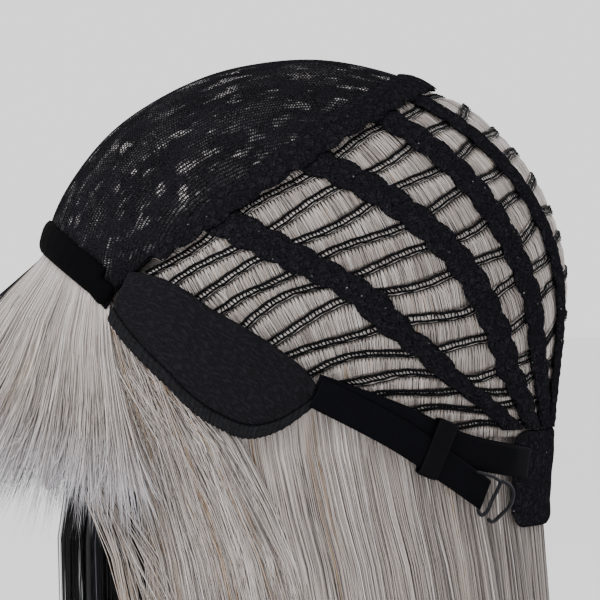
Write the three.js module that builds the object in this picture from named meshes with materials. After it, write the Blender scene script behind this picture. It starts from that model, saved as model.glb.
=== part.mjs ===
// Straight wig with bangs, turned inside out: the cap's inner side shows, and the hair hangs from within.
// Millimetres, +Z up. The forehead is toward -Y and the left ear toward +X.
// The origin is inside the crown, where the top of a head carries the wig.

import * as THREE from 'three';
import { mergeVertices } from 'three/addons/utils/BufferGeometryUtils.js';

// Cap form: an egg-shaped dome above its widest level, and a wall that draws in a little below it
const capHalfWidth = 78;
const capHalfLength = 102;
const crownHeight = 90;
const sideReach = 145;
const tuckShare = 0.095;
const tuckDepth = 45;

// Layers through the wall, from the hair outward
const layerGap = 0.5;
const hairGap = 0.8;
const edgeGap = 0.3;
const hairThickness = 4;
const trackThickness = 2;
const laceThickness = 1.6;
const trimThickness = 1.6;

// Ribbons and bands
const foreheadBandWidth = 12;
const crownSeamWidth = 13;
const crownSeamStation = -0.02;
const laceBandWidth = 12.5;
const laceBandTaper = 0.17;
const scallopShare = 0.07;

// Weft rows
const weftWidth = 4;
const weftWave = 1.2;
const weftRows = 12;
const openWeftRows = 9;
const openWeftShare = 0.795;
const napeWeftShare = 0.183;
const weftSwell = 3.6;
const weftSwellShare = 0.085;

// Ear tabs, straps, keepers and hooks
const earTabDepth = 37;
const earTabThickness = 4;
const bindingWidth = 5;
const strapWidth = 12;
const strapThickness = 1.5;
const keeperWidth = 8;
const keeperThickness = 1;
const keeperAngle = 29.5;
const keeperTilt = -22;
const hookWire = 1.5;
const hookWidth = 18;
const hookHeight = 15;
const hookAngle = 1.05;

// Nape panel
const napePanelHeight = 36.5;
const napePanelAngle = 34;
const napeShare = 0.3496;
const napePanelTop = napeShare * sideReach + edgeGap;

// Hair
const hairDrop = 328;
const hairEndThickness = 2.4;
const hairSwell = 5;
const lockRelief = 1.5;
const locksPerHalf = 10;
const endRag = 9;
const bangsLength = 92;
const bangsTuck = 6;
const bangsThickness = 5;
const bangsTipThickness = 1.6;
const bangLocks = 8;

// How far the bangs sweep forward at their roots and tips, as shares of their lean
const bangsRootShare = 0.8;
const bangsTipShare = 1.25;

// Room between the two halves of the hair
const halvesGap = 0.4;

// Lifts of the layers' faces from the cap form, outward positive
const laceFaces = { inner: -laceThickness, outer: 0 };
const trackOuter = laceFaces.inner - layerGap;
const trackFaces = { inner: trackOuter - trackThickness, outer: trackOuter };
const hairOuter = trackFaces.inner - hairGap;
const hairFaces = { inner: hairOuter - hairThickness, outer: hairOuter };
const trimFaces = { inner: layerGap, outer: layerGap + trimThickness };
const baseStrapFaces = { inner: layerGap, outer: layerGap + strapThickness };
const adjusterInner = baseStrapFaces.outer + edgeGap;
const adjusterFaces = { inner: adjusterInner, outer: adjusterInner + strapThickness };

// The widest level of the cap, below the origin by the crown's inner height
const widestLevel = -(crownHeight + hairFaces.inner);

const degree = Math.PI / 180;
const leftSide = 1;
const rightSide = -1;

// Lines over the cap from ear to ear. Station -1 is the forehead rim, 0 the crown seam and 1 the nape.
// middle: angle above +Y at which the line crosses the middle, in degrees
// endForward, endHeight: where it ends at the side, as shares of the half length and the height
// sag: how far it hangs below a plane cut half way, as a share of the height
const capLines = [
  { station: -1, middle: 169.4, endForward: -0.718, endHeight: -0.046, sag: 0 },
  { station: 0, middle: 62.8, endForward: -0.56, endHeight: 0.14, sag: -0.015 },
  { station: 0.33, middle: 37, endForward: -0.29, endHeight: -0.045, sag: 0.06 },
  { station: 0.61, middle: 14, endForward: -0.07, endHeight: -0.17, sag: 0.14 },
  { station: 0.8, middle: -3.4, endForward: 0.127, endHeight: -0.228, sag: 0.1 },
  { station: 1, middle: -20.46, endForward: 0.5, endHeight: -napeShare, sag: 0 },
];

// Lace bands of one side, from the middle outward: share across at the crown seam and at the nape
// bend: how late a band draws in on its way down; width: its width as a share of the lace band's width
const laceBands = [
  { seam: 0.21, nape: 0.14, bend: 2, width: 0.88 },
  { seam: 0.37, nape: 0.28, bend: 4, width: 0.95 },
  { seam: 0.6, nape: 0.44, bend: 1, width: 1 },
  { seam: 0.83, nape: 0.6, bend: 2, width: 1.1 },
];

// Ear tab sections from its front to its rounded back end
// topForward, topHeight: upper edge, as shares of the half length and the height
// depth: share of the tab's depth; lean: how far the lower edge lies forward, as a share of that depth
const earTabSections = [
  { along: 0, topForward: -0.615, topHeight: 0.09, depth: 0.48, lean: 0.5 },
  { along: 0.2, topForward: -0.498, topHeight: 0.06, depth: 0.76, lean: 0.4 },
  { along: 0.4, topForward: -0.352, topHeight: -0.026, depth: 0.97, lean: 0.27 },
  { along: 0.6, topForward: -0.21, topHeight: -0.084, depth: 1, lean: 0.29 },
  { along: 0.8, topForward: -0.067, topHeight: -0.15, depth: 0.83, lean: 0.36 },
  { along: 0.92, topForward: 0.003, topHeight: -0.19, depth: 0.56, lean: 0.33 },
  { along: 1, topForward: 0.05, topHeight: -0.232, depth: 0.22, lean: 0.3 },
];

// Strap routes on the wall: turn is the angle from the side toward the back, in degrees
// depth: share of the nape panel's top depth below the widest level
const baseStrapRoute = [
  { turn: 2.9, depth: 0.69 },
  { turn: 21, depth: 0.91 },
  { turn: 34, depth: 1.09 },
  { turn: 61, depth: 1.25 },
];
const adjusterRoute = [
  { turn: 3.2, depth: 0.71 },
  { turn: 21, depth: 1.02 },
  { turn: 34, depth: 1.28 },
  { turn: 43.5, depth: 1.46 },
];

// Hair sections from the crown down. rise: degrees above the widest level; drop: share of the hair's drop
// front: angle of the front edge from the side, in degrees, negative toward the forehead
// forward: how far the dark half's front edge hangs forward, in shares of the half length
// relief: depth of the locks' grooves, as a share of the lock relief
// swell: how far the hair stands out below the nape, as a share of its swell
const hairSections = [
  { rise: 90, drop: 0, front: -90, forward: 0, relief: 0, swell: 0 },
  { rise: 64, drop: 0, front: -90, forward: 0, relief: 0, swell: 0 },
  { rise: 40, drop: 0, front: -90, forward: 0, relief: 0, swell: 0 },
  { rise: 23, drop: 0, front: -90, forward: 0, relief: 0, swell: 0 },
  { rise: 11.5, drop: 0, front: -88, forward: 0, relief: 0, swell: 0 },
  { rise: 8, drop: 0, front: -71, forward: 0, relief: 0, swell: 0 },
  { rise: 3.5, drop: 0, front: -55, forward: 0, relief: 0, swell: 0 },
  { rise: 0, drop: 0.01, front: -47, forward: 0, relief: 0, swell: 0 },
  { rise: 0, drop: 0.05, front: -43, forward: 0, relief: 0.3, swell: 0 },
  { rise: 0, drop: 0.12, front: -43, forward: 0.07, relief: 0.7, swell: 0 },
  { rise: 0, drop: 0.2, front: -44, forward: 0.2, relief: 0.8, swell: 0 },
  { rise: 0, drop: 0.28, front: -42, forward: 0.29, relief: 0.8, swell: 0 },
  { rise: 0, drop: 0.34, front: -39, forward: 0.32, relief: 1, swell: 0.9 },
  { rise: 0, drop: 0.5, front: -36, forward: 0.33, relief: 1.1, swell: 1 },
  { rise: 0, drop: 0.75, front: -34, forward: 0.32, relief: 1.2, swell: 1 },
  { rise: 0, drop: 1, front: -34, forward: 0.31, relief: 1.2, swell: 0.9 },
];

// Bangs: how strands lean from straight down at the middle, the brow and the temple, in degrees
const bangSections = [
  { across: 0, forwardLean: 37, outwardLean: 0, length: 1 },
  { across: 0.5, forwardLean: 20, outwardLean: 9, length: 0.98 },
  { across: 1, forwardLean: -8, outwardLean: 13, length: 0.86 },
];

// Bend points of the hook's wire from the strap's free end, as shares of its width and height
const hookRoute = [
  { x: -0.45, y: -0.31 },
  { x: -0.31, y: -0.46 },
  { x: -0.21, y: -0.41 },
  { x: -0.055, y: -0.12 },
  { x: 0.09, y: 0.15 },
  { x: 0.19, y: 0.33 },
  { x: 0.37, y: 0.28 },
  { x: 0.51, y: 0.07 },
  { x: 0.45, y: -0.23 },
  { x: 0.22, y: -0.46 },
  { x: -0.05, y: -0.63 },
  { x: -0.16, y: -0.56 },
];

const colours = {
  lace: 0x17171a,
  hem: 0x0e0e10,
  track: 0x1d1d20,
  tab: 0x2a2b30,
  binding: 0x1c1c20,
  strap: 0x0d0d10,
  keeper: 0x34343a,
  hook: 0x111114,
  silverBlond: 0xc9c0ba,
  black: 0x121216,
};

/** Values of a table between its rows, which are in rising order of the named column. */
function between(rows, column, value) {
  let upper = rows.findIndex((row) => row[column] >= value);
  if (upper < 0) {
    upper = rows.length - 1;
  }
  upper = Math.max(upper, 1);
  const low = rows[upper - 1];
  const high = rows[upper];
  const share = (value - low[column]) / (high[column] - low[column]);
  const mixed = {};
  for (const name of Object.keys(low)) {
    mixed[name] = low[name] + (high[name] - low[name]) * share;
  }
  return mixed;
}

/** A point on the wall below the widest level, from a flat direction, a depth and a lift. */
function onWall(flatX, flatY, depth, lift) {
  const ratio = (depth / tuckDepth) ** 2;
  const waist = 1 - (tuckShare * ratio) / (1 + ratio);
  const x = (capHalfWidth * waist + lift) * flatX;
  const y = (capHalfLength * waist + lift) * flatY;
  return new THREE.Vector3(x, y, widestLevel - depth);
}

/** A point on the cap form in a unit direction from the middle of its widest level. */
function onForm(direction, lift) {
  if (direction.z < 0) {
    const flat = Math.hypot(direction.x, direction.y);
    return onWall(direction.x / flat, direction.y / flat, -direction.z * sideReach, lift);
  }
  return new THREE.Vector3(
    (capHalfWidth + lift) * direction.x,
    (capHalfLength + lift) * direction.y,
    widestLevel + (crownHeight + lift) * direction.z,
  );
}

/** The unit direction at a station of the cap and a share across it: -1 right ear, 0 middle, 1 left ear. */
function capDirection(station, across) {
  const line = between(capLines, 'station', station);
  const middle = new THREE.Vector2(Math.cos(line.middle * degree), Math.sin(line.middle * degree));
  const run = new THREE.Vector2(line.endForward, line.endHeight).sub(middle);
  const reach = run.length();
  run.normalize();
  const radius = -middle.dot(run);
  const turn = across * Math.acos(THREE.MathUtils.clamp(1 - reach / radius, -1, 1));
  const inward = radius * (1 - Math.cos(turn));
  const sag = line.sag * Math.sin(Math.PI * across) ** 2;
  const direction = new THREE.Vector3(
    radius * Math.sin(turn),
    middle.x + run.x * inward,
    middle.y + run.y * inward - sag,
  );
  return direction.normalize();
}

/** A point on the cap at a station, a share across and a lift. */
function onCap(station, across, lift) {
  return onForm(capDirection(station, across), lift);
}

/** How many millimetres of cap lie along one unit of station, toward the given sense. */
function stationLength(station, across, sense) {
  const step = 0.005 * sense;
  return onCap(station, across, 0).distanceTo(onCap(station + step, across, 0)) / Math.abs(step);
}

/** How many millimetres of cap lie along one unit of across. */
function acrossLength(station, across) {
  const step = 0.005;
  return onCap(station, across - step, 0).distanceTo(onCap(station, across + step, 0)) / (2 * step);
}

/** The evenly spaced shares from 0 to 1. */
function evenShares(steps) {
  return Array.from({ length: steps + 1 }, (_, index) => index / steps);
}

/** A closed solid from points and triangles: equal points become one, and its faces point out. */
function closedSolid(positions, indices) {
  let geometry = new THREE.BufferGeometry();
  geometry.setAttribute('position', new THREE.Float32BufferAttribute(positions, 3));
  geometry.setIndex(indices);
  geometry = mergeVertices(geometry);
  const points = geometry.getAttribute('position');
  const corners = [new THREE.Vector3(), new THREE.Vector3(), new THREE.Vector3()];
  const kept = [];
  let volume = 0;
  for (let face = 0; face < geometry.index.count; face += 3) {
    const trio = [0, 1, 2].map((corner) => geometry.index.getX(face + corner));
    if (new Set(trio).size === 3) {
      trio.forEach((vertex, corner) => corners[corner].fromBufferAttribute(points, vertex));
      volume += corners[0].dot(corners[1].clone().cross(corners[2]));
      kept.push(trio);
    }
  }
  const outward = kept.map((trio) => (volume > 0 ? trio : [trio[0], trio[2], trio[1]]));
  geometry.setIndex(outward.flat());
  geometry.computeVertexNormals();
  return geometry;
}

/** A closed sheet: pointAt gives its outer and inner face at each share along and across. */
function sheetSolid(alongShares, acrossShares, pointAt) {
  const positions = [];
  const indices = [];
  const rowLength = acrossShares.length;
  const faceLength = alongShares.length * rowLength;
  for (const face of ['outer', 'inner']) {
    for (const along of alongShares) {
      for (const across of acrossShares) {
        positions.push(...pointAt(along, across, face).toArray());
      }
    }
  }
  const quad = (a, b, c, d) => indices.push(a, b, c, a, c, d);
  const outer = (row, column) => row * rowLength + column;
  const inner = (row, column) => faceLength + outer(row, column);
  const lastRow = alongShares.length - 1;
  const last = rowLength - 1;
  for (let row = 0; row < lastRow; row += 1) {
    for (let column = 0; column < last; column += 1) {
      const next = column + 1;
      quad(outer(row, column), outer(row + 1, column), outer(row + 1, next), outer(row, next));
      quad(inner(row, column), inner(row, next), inner(row + 1, next), inner(row + 1, column));
    }
    quad(outer(row, 0), inner(row, 0), inner(row + 1, 0), outer(row + 1, 0));
    quad(outer(row, last), outer(row + 1, last), inner(row + 1, last), inner(row, last));
  }
  for (let column = 0; column < last; column += 1) {
    const next = column + 1;
    quad(outer(0, column), outer(0, next), inner(0, next), inner(0, column));
    quad(outer(lastRow, column), inner(lastRow, column), inner(lastRow, next), outer(lastRow, next));
  }
  return closedSolid(positions, indices);
}

const wig = new THREE.Group();

/** Adds a named piece with a material of its own. */
function addPiece(name, geometry, color, roughness) {
  const piece = new THREE.Mesh(geometry, new THREE.MeshStandardMaterial({ color, roughness }));
  piece.name = name;
  wig.add(piece);
}

/** The front lace panel, from the forehead rim to the crown seam. */
function frontLacePanel() {
  const reach = 0.985;
  const hem = 0.035;
  const rows = [0, ...evenShares(7).map((share) => hem + (1 - hem) * share)];
  return sheetSolid(rows, evenShares(22), (along, share, face) => {
    const across = reach * (2 * share - 1);
    const end = crownSeamStation - edgeGap / stationLength(crownSeamStation, across, -1);
    return onCap(-1 + (end + 1) * along, across, laceFaces[face]);
  });
}

/** The plain hem along the forehead. */
function foreheadBand() {
  const reach = 0.965;
  return sheetSolid(evenShares(22), evenShares(2), (along, share, face) => {
    const across = reach * (2 * along - 1);
    const width = foreheadBandWidth / stationLength(-1, across, 1);
    return onCap(-1 + width * share, across, trimFaces[face]);
  });
}

/** The lace ribbon over the seam from ear to ear. */
function crownSeamBand() {
  const reach = 0.95;
  return sheetSolid(evenShares(30), evenShares(2), (along, share, face) => {
    const across = reach * (2 * along - 1);
    const sense = share < 0.5 ? -1 : 1;
    const half = ((2 * share - 1) * crownSeamWidth) / 2;
    const length = stationLength(sense < 0 ? crownSeamStation : 0, across, sense);
    return onCap(crownSeamStation + half / length, across, trimFaces[face]);
  });
}

/** A scalloped lace ribbon of the left side, from the crown seam to the nape. */
function laceBand(band) {
  const steps = 24;
  return sheetSolid(evenShares(steps), evenShares(2), (along, share, face) => {
    const top = crownSeamStation + edgeGap / stationLength(crownSeamStation, band.seam, 1);
    const station = top + (1 - top) * along;
    const centre = THREE.MathUtils.lerp(band.seam, band.nape, Math.max(station, 0) ** band.bend);
    const scallop = 1 + scallopShare * (Math.round(along * steps) % 2 === 0 ? 1 : -1);
    const width = laceBandWidth * band.width * scallop * (1 - laceBandTaper * station);
    const offset = ((share - 0.5) * width) / acrossLength(station, centre);
    return onCap(station, centre + offset, laceFaces[face]);
  });
}

/** The station of a weft row: evenly spaced, then closer together at the nape. */
function weftStation(row) {
  const open = (Math.min(row, openWeftRows) - 0.5) / (openWeftRows - 0.5);
  const low = Math.max(row - openWeftRows, 0) / (weftRows - openWeftRows);
  return openWeftShare * open + napeWeftShare * low;
}

/** How far a weft row stands out where it crosses the middle of the back. */
function weftRise(station, across) {
  const fade = Math.min(station / 0.12, (1 - station) / 0.15, 1);
  return weftSwell * fade * (1 - 0.7 * station) * Math.exp(-((across / weftSwellShare) ** 2));
}

/** A sewn hair track from ear to ear, slightly waved. */
function weftTrack(row) {
  const reach = 1.01;
  const middle = weftStation(row);
  const steps = 26;
  return sheetSolid(evenShares(steps), evenShares(1), (along, share, face) => {
    const across = reach * (2 * along - 1);
    const wave = weftWave * Math.sin(2 * Math.PI * (3.1 * across + 0.37 * row));
    const shift = (wave + (share - 0.5) * weftWidth) / stationLength(middle, across, 1);
    return onCap(middle + shift, across, trackFaces[face] + weftRise(middle, across));
  });
}

/** A point of an ear tab: share 0 at its upper edge and 1 at its lower one, less a strip kept free there. */
function onEarTab(along, share, stripInner, stripOuter, lift) {
  const section = between(earTabSections, 'along', along);
  const scale = section.topHeight < 0 ? sideReach : crownHeight;
  const topDepth = -section.topHeight * scale;
  const drop = section.depth * earTabDepth;
  const down = stripInner + (drop - stripOuter - stripInner) * share;
  const forward = section.topForward - (section.lean * down) / capHalfLength;
  const depth = topDepth + down;
  const height = depth < 0 ? -depth / crownHeight : 0;
  const flatY = forward / Math.sqrt(1 - height * height);
  const flatX = Math.sqrt(1 - flatY * flatY);
  if (depth < 0) {
    const level = Math.sqrt(1 - height * height);
    return onForm(new THREE.Vector3(flatX * level, flatY * level, height), lift);
  }
  return onWall(flatX, flatY, depth, lift);
}

/** The padded ear tab, without its bound lower edge. */
function earTab() {
  return sheetSolid(evenShares(12), evenShares(4), (along, share, face) => {
    const swell = 0.6 + 0.4 * Math.sin(Math.PI * share) * Math.sin(Math.PI * (0.1 + 0.8 * along));
    const lift = face === 'outer' ? layerGap + earTabThickness * swell : layerGap;
    return onEarTab(along, share, 0, bindingWidth + edgeGap, lift);
  });
}

/** The satin binding along the ear tab's front, lower and back edge. */
function earTabBinding() {
  return sheetSolid(evenShares(14), evenShares(2), (along, share, face) => {
    const crown = 0.55 + 0.25 * Math.sin(Math.PI * share);
    const lift = face === 'outer' ? layerGap + earTabThickness * crown : layerGap;
    const section = between(earTabSections, 'along', along);
    const above = section.depth * earTabDepth - bindingWidth;
    return onEarTab(along, share, above, 0, lift);
  });
}

/** A strap along a route on the wall. */
function strap(route, faces) {
  const curve = new THREE.CatmullRomCurve3(
    route.map((stop) => new THREE.Vector3(stop.turn * degree, stop.depth * napePanelTop, 0)),
  );
  return sheetSolid(evenShares(12), evenShares(1), (along, share, face) => {
    const stop = curve.getPoint(along);
    const heading = curve.getTangent(along);
    const flow = new THREE.Vector2(heading.x * capHalfLength, heading.y).normalize();
    const offset = (share - 0.5) * strapWidth;
    const turn = stop.x - (offset * flow.y) / capHalfLength;
    const depth = stop.y + offset * flow.x;
    return onWall(Math.cos(turn), Math.sin(turn), depth, faces[face]);
  });
}

/** The lace piece across the nape, with rounded lower corners. */
function napePanel() {
  return sheetSolid(evenShares(16), evenShares(3), (along, share, face) => {
    const sideShare = 2 * along - 1;
    const corner = Math.max(0, (Math.abs(sideShare) - 0.82) / 0.18);
    const round = 1 - Math.sqrt(1 - 0.75 * corner * corner);
    const top = napePanelTop + 0.2 * round * napePanelHeight;
    const bottom = napePanelTop + napePanelHeight * (1 - 0.42 * round);
    const turn = Math.PI / 2 - sideShare * napePanelAngle * degree;
    return onWall(Math.cos(turn), Math.sin(turn), top + (bottom - top) * share, laceFaces[face]);
  });
}

/** A frame on the wall: x along the wall toward the back, y up it and z outward. */
function wallFrame(turn, depth, tilt, lift) {
  const step = 0.01;
  const place = onWall(Math.cos(turn), Math.sin(turn), depth, lift);
  const backward = onWall(Math.cos(turn + step), Math.sin(turn + step), depth, lift)
    .sub(onWall(Math.cos(turn - step), Math.sin(turn - step), depth, lift))
    .normalize();
  const upward = onWall(Math.cos(turn), Math.sin(turn), depth - 1, lift).sub(place);
  const outward = backward.clone().cross(upward).normalize();
  const basis = new THREE.Matrix4().makeBasis(backward, outward.clone().cross(backward), outward);
  const group = new THREE.Group();
  group.position.copy(place);
  group.quaternion.setFromRotationMatrix(basis);
  group.rotateZ(tilt);
  return group;
}

/** The flat loop that holds both straps together, which lie a given distance apart. */
function strapKeeper(separation) {
  const stack = adjusterFaces.outer - baseStrapFaces.inner + 2 * edgeGap;
  const height = strapWidth + separation + 4 * edgeGap;
  const ring = new THREE.Shape([
    new THREE.Vector2(-stack / 2 - keeperThickness, -height / 2 - keeperThickness),
    new THREE.Vector2(stack / 2 + keeperThickness, -height / 2 - keeperThickness),
    new THREE.Vector2(stack / 2 + keeperThickness, height / 2 + keeperThickness),
    new THREE.Vector2(-stack / 2 - keeperThickness, height / 2 + keeperThickness),
  ]);
  ring.holes.push(
    new THREE.Path([
      new THREE.Vector2(-stack / 2, -height / 2),
      new THREE.Vector2(-stack / 2, height / 2),
      new THREE.Vector2(stack / 2, height / 2),
      new THREE.Vector2(stack / 2, -height / 2),
    ]),
  );
  const geometry = new THREE.ExtrudeGeometry(ring, { depth: keeperWidth, bevelEnabled: false, steps: 1 });
  geometry.translate(0, 0, -keeperWidth / 2);
  geometry.rotateY(Math.PI / 2);
  return geometry;
}

/** The open wire hook at the free end of the adjuster strap. */
function adjusterHook() {
  const points = hookRoute.map((bend) => new THREE.Vector3(bend.x * hookWidth, bend.y * hookHeight, 0));
  const wire = new THREE.Shape();
  wire.absarc(0, 0, hookWire / 2, 0, 2 * Math.PI);
  return new THREE.ExtrudeGeometry(wire, {
    steps: 26,
    curveSegments: 3,
    extrudePath: new THREE.CatmullRomCurve3(points),
  });
}

/** Ridge and groove of the locks: 1 on a ridge and -1 in a groove. */
function lockWave(across, locks) {
  return Math.cos(2 * Math.PI * locks * across);
}

/** One half of the hair: the layer under the cap and the long locks that hang from it. */
function longHair(isDark) {
  const columns = evenShares(2 * locksPerHalf);
  const rows = hairSections.map((_, index) => index);
  return sheetSolid(rows, columns, (row, share, face) => {
    const section = hairSections[row];
    const turn = (section.front + (90 - section.front) * share) * degree;
    const ridge = lockWave(share, locksPerHalf);
    const taper = section.drop * (hairThickness - hairEndThickness);
    const relief = section.relief * lockRelief * (1 - ridge);
    const swell = section.swell * hairSwell;
    const lift = swell + (face === 'outer' ? hairFaces.outer - relief : hairFaces.inner + taper);
    if (section.drop === 0) {
      const level = Math.cos(section.rise * degree);
      const height = Math.sin(section.rise * degree);
      return onForm(new THREE.Vector3(Math.cos(turn) * level, Math.sin(turn) * level, height), lift);
    }
    const unevenness = 0.5 + 0.5 * Math.sin(5 + 7 * share * Math.PI);
    const rag = section.drop === 1 ? endRag * (0.45 * (1 - ridge) + 0.4 * unevenness) : 0;
    const point = onWall(Math.cos(turn), Math.sin(turn), section.drop * hairDrop - rag, lift);
    point.y -= isDark ? section.forward * capHalfLength * (1 - share) ** 3 : 0;
    return point;
  });
}

/** One half of the bangs: a fan of locks that starts under the forehead hem. */
function bangs() {
  const flights = [-1, 0, 0.12, 0.35, 0.68, 1];
  return sheetSolid(flights, evenShares(2 * bangLocks), (flight, share, face) => {
    const across = 0.004 + 0.95 * share;
    const ridge = lockWave(share, bangLocks);
    if (flight < 0) {
      const station = -1 + bangsTuck / stationLength(-1, across, 1);
      return onCap(station, across, trackFaces[face]);
    }
    const section = between(bangSections, 'across', share);
    const rim = onCap(-1, across, trackFaces[face]);
    const shortfall = flight === 1 ? 0.1 * (1 - ridge) : 0;
    const length = bangsLength * section.length * (flight - shortfall);
    const forward = section.forwardLean * degree;
    const sweep = THREE.MathUtils.lerp(bangsRootShare, bangsTipShare, flight);
    const outward = section.outwardLean * degree;
    const swell = Math.sin(Math.PI * Math.min(flight * 1.4, 0.5));
    const full = THREE.MathUtils.lerp(trackThickness, bangsThickness, swell);
    const thickness = THREE.MathUtils.lerp(full, bangsTipThickness, flight ** 2);
    const extra = face === 'outer' ? thickness - trackThickness + flight * ridge : 0;
    const normal = new THREE.Vector3(
      Math.sin(across * Math.PI * 0.32),
      -Math.cos(across * Math.PI * 0.32),
      Math.tan(forward) * 0.8,
    ).normalize();
    return new THREE.Vector3(
      rim.x + length * Math.sin(outward) + extra * normal.x,
      rim.y - length * Math.sin(forward) * sweep + extra * normal.y,
      rim.z - length * Math.cos(forward) * Math.cos(outward) + extra * normal.z - flight * edgeGap,
    );
  });
}

/** Mirrors a geometry of the left side to the right, with its faces still pointing out. */
function toSide(geometry, side) {
  if (side === leftSide) {
    return geometry;
  }
  const points = geometry.getAttribute('position');
  const mirrored = [];
  for (let vertex = 0; vertex < points.count; vertex += 1) {
    mirrored.push(-points.getX(vertex), points.getY(vertex), points.getZ(vertex));
  }
  return closedSolid(mirrored, Array.from(geometry.index.array));
}

/** Moves a half of the hair off the middle by half the gap between the halves. */
function offMiddle(geometry) {
  return geometry.translate(halvesGap / 2, 0, 0);
}

/** A wire or loop of the left side, set on the wall and mirrored for the right side. */
function setOnWall(geometry, frame, side) {
  const bare = geometry.clone();
  bare.deleteAttribute('normal');
  bare.deleteAttribute('uv');
  const merged = mergeVertices(bare);
  frame.updateMatrixWorld(true);
  merged.applyMatrix4(frame.matrixWorld);
  return toSide(closedSolid(merged.getAttribute('position').array, Array.from(merged.index.array)), side);
}

addPiece('front_lace_panel', frontLacePanel(), colours.lace, 0.9);
addPiece('forehead_band', foreheadBand(), colours.hem, 0.95);
addPiece('crown_seam_band', crownSeamBand(), colours.lace, 0.9);
addPiece('nape_lace_panel', napePanel(), colours.lace, 0.9);
for (let row = 1; row <= weftRows; row += 1) {
  addPiece(`weft_row_${String(row).padStart(2, '0')}`, weftTrack(row), colours.track, 0.8);
}

/** The keeper's place on the wall: the middle of both straps where it holds them. */
function keeperOnWall(side) {
  const baseDepth = between(baseStrapRoute, 'turn', keeperAngle).depth * napePanelTop;
  const adjusterDepth = between(adjusterRoute, 'turn', keeperAngle).depth * napePanelTop;
  const tilt = keeperTilt * degree;
  const middleLift = (baseStrapFaces.inner + adjusterFaces.outer) / 2;
  const frame = wallFrame(keeperAngle * degree, (baseDepth + adjusterDepth) / 2, tilt, middleLift);
  return setOnWall(strapKeeper((adjusterDepth - baseDepth) * Math.cos(tilt)), frame, side);
}

/** The hook's place on the wall: over the adjuster strap's free end. */
function hookOnWall(side) {
  const stop = adjusterRoute[adjusterRoute.length - 1];
  const lift = adjusterFaces.outer + edgeGap + hookWire / 2;
  const frame = wallFrame((stop.turn + hookAngle) * degree, stop.depth * napePanelTop, 0, lift);
  return setOnWall(adjusterHook(), frame, side);
}

for (const side of [leftSide, rightSide]) {
  const name = side === leftSide ? 'left' : 'right';
  laceBands.forEach((band, order) => {
    addPiece(`lace_band_${name}_${order + 1}`, toSide(laceBand(band), side), colours.lace, 0.9);
  });
  addPiece(`ear_tab_${name}`, toSide(earTab(), side), colours.tab, 0.85);
  addPiece(`ear_tab_binding_${name}`, toSide(earTabBinding(), side), colours.binding, 0.5);
  addPiece(`base_strap_${name}`, toSide(strap(baseStrapRoute, baseStrapFaces), side), colours.strap, 0.4);
  addPiece(`adjuster_strap_${name}`, toSide(strap(adjusterRoute, adjusterFaces), side), colours.strap, 0.4);
  addPiece(`strap_keeper_${name}`, keeperOnWall(side), colours.keeper, 0.5);
  addPiece(`adjuster_hook_${name}`, hookOnWall(side), colours.hook, 0.25);
  const isDark = side === rightSide;
  const hairColour = isDark ? colours.black : colours.silverBlond;
  addPiece(`hair_${name}`, toSide(offMiddle(longHair(isDark)), side), hairColour, 0.45);
  addPiece(`bangs_${name}`, toSide(offMiddle(bangs()), side), hairColour, 0.45);
}

export default wig;
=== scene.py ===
"""A straight wig with bangs, turned inside out: its cap, trims, straps and two-tone hair."""

import functools
import logging
import math
from dataclasses import dataclass, replace
from enum import Enum

import bpy
import numpy as np
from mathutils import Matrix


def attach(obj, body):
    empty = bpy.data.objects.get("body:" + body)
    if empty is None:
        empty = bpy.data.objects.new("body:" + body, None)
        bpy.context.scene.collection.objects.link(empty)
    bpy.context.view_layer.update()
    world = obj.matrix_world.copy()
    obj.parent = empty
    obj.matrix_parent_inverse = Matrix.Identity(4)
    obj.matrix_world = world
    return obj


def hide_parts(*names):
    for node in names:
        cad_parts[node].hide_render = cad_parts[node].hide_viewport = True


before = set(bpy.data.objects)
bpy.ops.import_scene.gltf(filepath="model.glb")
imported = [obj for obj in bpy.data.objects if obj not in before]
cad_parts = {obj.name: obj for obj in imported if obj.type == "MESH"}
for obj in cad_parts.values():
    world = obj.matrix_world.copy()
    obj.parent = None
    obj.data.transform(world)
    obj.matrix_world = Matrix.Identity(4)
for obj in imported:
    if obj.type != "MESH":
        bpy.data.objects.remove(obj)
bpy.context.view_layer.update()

Array = np.ndarray
Colour = tuple[float, float, float]
LOG = logging.getLogger("wig")
MM = 0.001
BODY = "root"


class Side(Enum):
    """A side of the wig, with its sense along X."""

    LEFT = 1
    RIGHT = -1

    @property
    def word(self) -> str:
        """The side's name as the pieces spell it."""
        return self.name.lower()


class Columns:
    """A table of numbers, read between its rows by the rising values of its first column."""

    def __init__(self, names: str, rows: tuple[tuple[float, ...], ...], smooth: bool = False) -> None:
        """Keeps the rows.

        Args:
            names: the columns' names, with spaces between.
            rows: the table's rows.
            smooth: whether values run through the rows without corners.
        """
        self.names = names.split()
        self.rows = np.array(rows, float)
        self.smooth = smooth

    def at(self, name: str, place: Array | float) -> Array:
        """Reads a column.

        Args:
            name: the column's name.
            place: values of the first column.

        Returns:
            The column's value at each place.
        """
        knots = self.rows[:, 0]
        levels = self.rows[:, self.names.index(name)]
        place = np.asarray(place, float)
        low = np.clip(np.searchsorted(knots, place, side="left") - 1, 0, len(knots) - 2)
        span = knots[low + 1] - knots[low]
        share = (place - knots[low]) / span
        if not self.smooth:
            return levels[low] + (levels[low + 1] - levels[low]) * share
        slopes = np.gradient(levels, knots)
        rest = 1 - share
        start = levels[low] * (1 + 2 * share) * rest**2 + slopes[low] * span * share * rest**2
        end = levels[low + 1] * (3 - 2 * share) * share**2 - slopes[low + 1] * span * rest * share**2
        return start + end


def unit(vectors: Array) -> Array:
    """Vectors at length one."""
    return vectors / np.maximum(np.linalg.norm(vectors, axis=-1, keepdims=True), 1e-9)


def shares(steps: int) -> Array:
    """Evenly spaced shares from 0 to 1."""
    return np.linspace(0, 1, steps + 1)


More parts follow.
